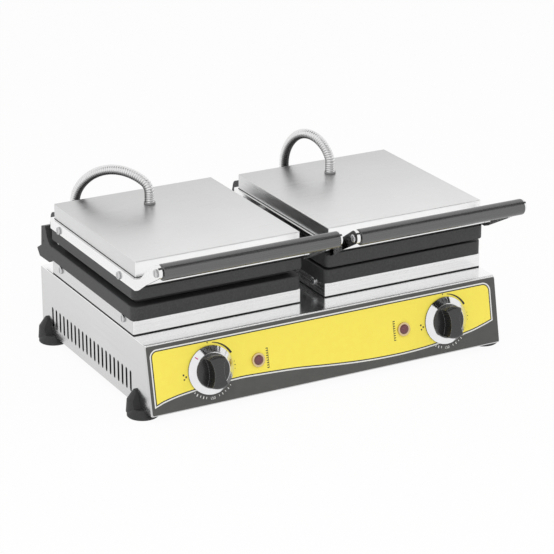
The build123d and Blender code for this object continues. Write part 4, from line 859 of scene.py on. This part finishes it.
def make_conduit(side):
    """Ribbed hose with a bore; its inner attribute runs from 0 to 1 towards the bends' inside,
    where the hose's material paints shade.
    """
    name = SIDES[side]
    at, length = hose_route(side)
    count = int(length / HOSE_PITCH)
    pitch = length / count
    rings = [((k + share) * pitch, HOSE_GROOVE + (HOSE_RADIUS - HOSE_GROOVE) * rise)
             for k in range(count) for share, rise in RIB]
    rings.append((length, HOSE_GROOVE))
    bore = [(length * k / BORE_STEPS, HOSE_BORE) for k in range(BORE_STEPS, -1, -1)]
    solid = bmesh.new()
    loops = []
    for s, radius in rings + bore:
        place, along, across = at(s)
        third = along.cross(across)
        loops.append([solid.verts.new((place + (across * cos(a) + third * sin(a)) * radius) * MM)
                      for a in (2 * pi * k / HOSE_SIDES for k in range(HOSE_SIDES))])
    for one, two in zip(loops, loops[1:] + loops[:1]):
        for k in range(HOSE_SIDES):
            j = (k + 1) % HOSE_SIDES
            solid.faces.new((one[k], one[j], two[j], two[k]))
    mesh = finish_mesh(f"ribbed_conduit_{name}", solid)
    # Attribute for the painted shade on the inside of the bends.
    inner = mesh.attributes.new("inner", "FLOAT", "POINT")
    for k in range(len(mesh.vertices)):
        inner.data[k].value = 0.5 + 0.5 * sin(2 * pi * (k % HOSE_SIDES) / HOSE_SIDES)
    piece = add_piece(f"ribbed_conduit_{name}", mesh, None, hose_metal, smooth=True)
    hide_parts(f"conduit_{name}")
    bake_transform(piece)


for side in (0, 1):
    make_conduit(side)

# ---------------------------------------------------------------- stage and light

AMBIENT, BACKDROP = 0.62, 1.0
FLOOR_SIZE, FLOOR_DROP = 15.0, 0.0001
FLOOR_COLOR = (0.92, 0.92, 0.92, 1.0)
FLOOR_GLOW = 0.94
CARD_SIZE, CARD_STRETCH = 0.5, (2.2, 1.15, 1.0, 1.0)
CARD_PLACE = (0.8, -0.85, 1.75)
CARD_COLOR = (0.02, 0.02, 0.02, 1.0)
AIM = (0.0, 0.0, 0.1)


def light(name, place, size, power):
    """Soft square lamp aimed at the object and not seen in its mirror-like surfaces."""
    data = bpy.data.lights.new(name, "AREA")
    data.shape = "SQUARE"
    data.size = size
    data.energy = power
    lamp = bpy.data.objects.new(name, data)
    bpy.context.scene.collection.objects.link(lamp)
    lamp.location = place
    lamp.rotation_euler = (Vector(AIM) - Vector(place)).to_track_quat("-Z", "Y").to_euler()
    lamp.visible_glossy = False


def bare_material(name):
    """Material with only an output node, and that output's surface socket."""
    material = bpy.data.materials.new(name)
    material.use_nodes = True
    material.node_tree.nodes.clear()
    output = material.node_tree.nodes.new("ShaderNodeOutputMaterial")
    return material, output.inputs["Surface"]


def square(name, size):
    """Flat square in the scene, for the floor and the card."""
    solid = bmesh.new()
    bmesh.ops.create_grid(solid, x_segments=1, y_segments=1, size=size)
    mesh = bpy.data.meshes.new(name)
    solid.to_mesh(mesh)
    solid.free()
    made = bpy.data.objects.new(name, mesh)
    bpy.context.scene.collection.objects.link(made)
    return made


def seen_directly(tree, camera_share=1.0):
    """Socket that is 1 for mirror and glass rays, and camera_share for the camera."""
    path = tree.nodes.new("ShaderNodeLightPath")
    share = tree.nodes.new("ShaderNodeMath")
    share.operation = "MULTIPLY"
    share.inputs[1].default_value = camera_share
    tree.links.new(path.outputs["Is Camera Ray"], share.inputs[0])
    socket = share.outputs[0]
    for kind in ("Is Glossy Ray", "Is Transmission Ray"):
        most = tree.nodes.new("ShaderNodeMath")
        most.operation = "MAXIMUM"
        tree.links.new(socket, most.inputs[0])
        tree.links.new(path.outputs[kind], most.inputs[1])
        socket = most.outputs[0]
    return socket


def make_world():
    """White where it is seen directly, softer as light on the object."""
    world = bpy.data.worlds.new("studio")
    bpy.context.scene.world = world
    world.use_nodes = True
    tree = world.node_tree
    background = tree.nodes["Background"]
    background.inputs["Color"].default_value = (1.0, 1.0, 1.0, 1.0)
    level = tree.nodes.new("ShaderNodeMapRange")
    level.inputs["To Min"].default_value = AMBIENT
    level.inputs["To Max"].default_value = BACKDROP
    tree.links.new(seen_directly(tree), level.inputs["Value"])
    tree.links.new(level.outputs["Result"], background.inputs["Strength"])


def make_floor():
    """Pale floor that keeps the object's shadow."""
    floor = square("floor", FLOOR_SIZE)
    floor.location.z = -FLOOR_DROP
    material, surface = bare_material("floor")
    tree = material.node_tree
    diffuse = tree.nodes.new("ShaderNodeBsdfDiffuse")
    diffuse.inputs["Color"].default_value = FLOOR_COLOR
    glow = tree.nodes.new("ShaderNodeEmission")
    mix = tree.nodes.new("ShaderNodeMixShader")
    tree.links.new(seen_directly(tree, FLOOR_GLOW), mix.inputs[0])
    tree.links.new(diffuse.outputs[0], mix.inputs[1])
    tree.links.new(glow.outputs[0], mix.inputs[2])
    tree.links.new(mix.outputs[0], surface)
    floor.data.materials.append(material)


def make_card():
    """Dark card above the front, seen only in mirror-like surfaces."""
    card = square("dark_card", CARD_SIZE)
    card.data.transform(Matrix.Diagonal(CARD_STRETCH))
    card.location = CARD_PLACE
    card.visible_camera = card.visible_diffuse = card.visible_shadow = False
    card.visible_transmission = card.visible_volume_scatter = False
    material, surface = bare_material("dark_card")
    glow = material.node_tree.nodes.new("ShaderNodeEmission")
    glow.inputs["Color"].default_value = CARD_COLOR
    material.node_tree.links.new(glow.outputs[0], surface)
    card.data.materials.append(material)


make_world()
make_floor()
make_card()
light("key", place=(-1.0, -1.6, 2.2), size=2.4, power=29.0)
light("fill", place=(1.8, -1.0, 1.4), size=1.6, power=7.0)

bpy.context.scene.view_settings.view_transform = "Standard"
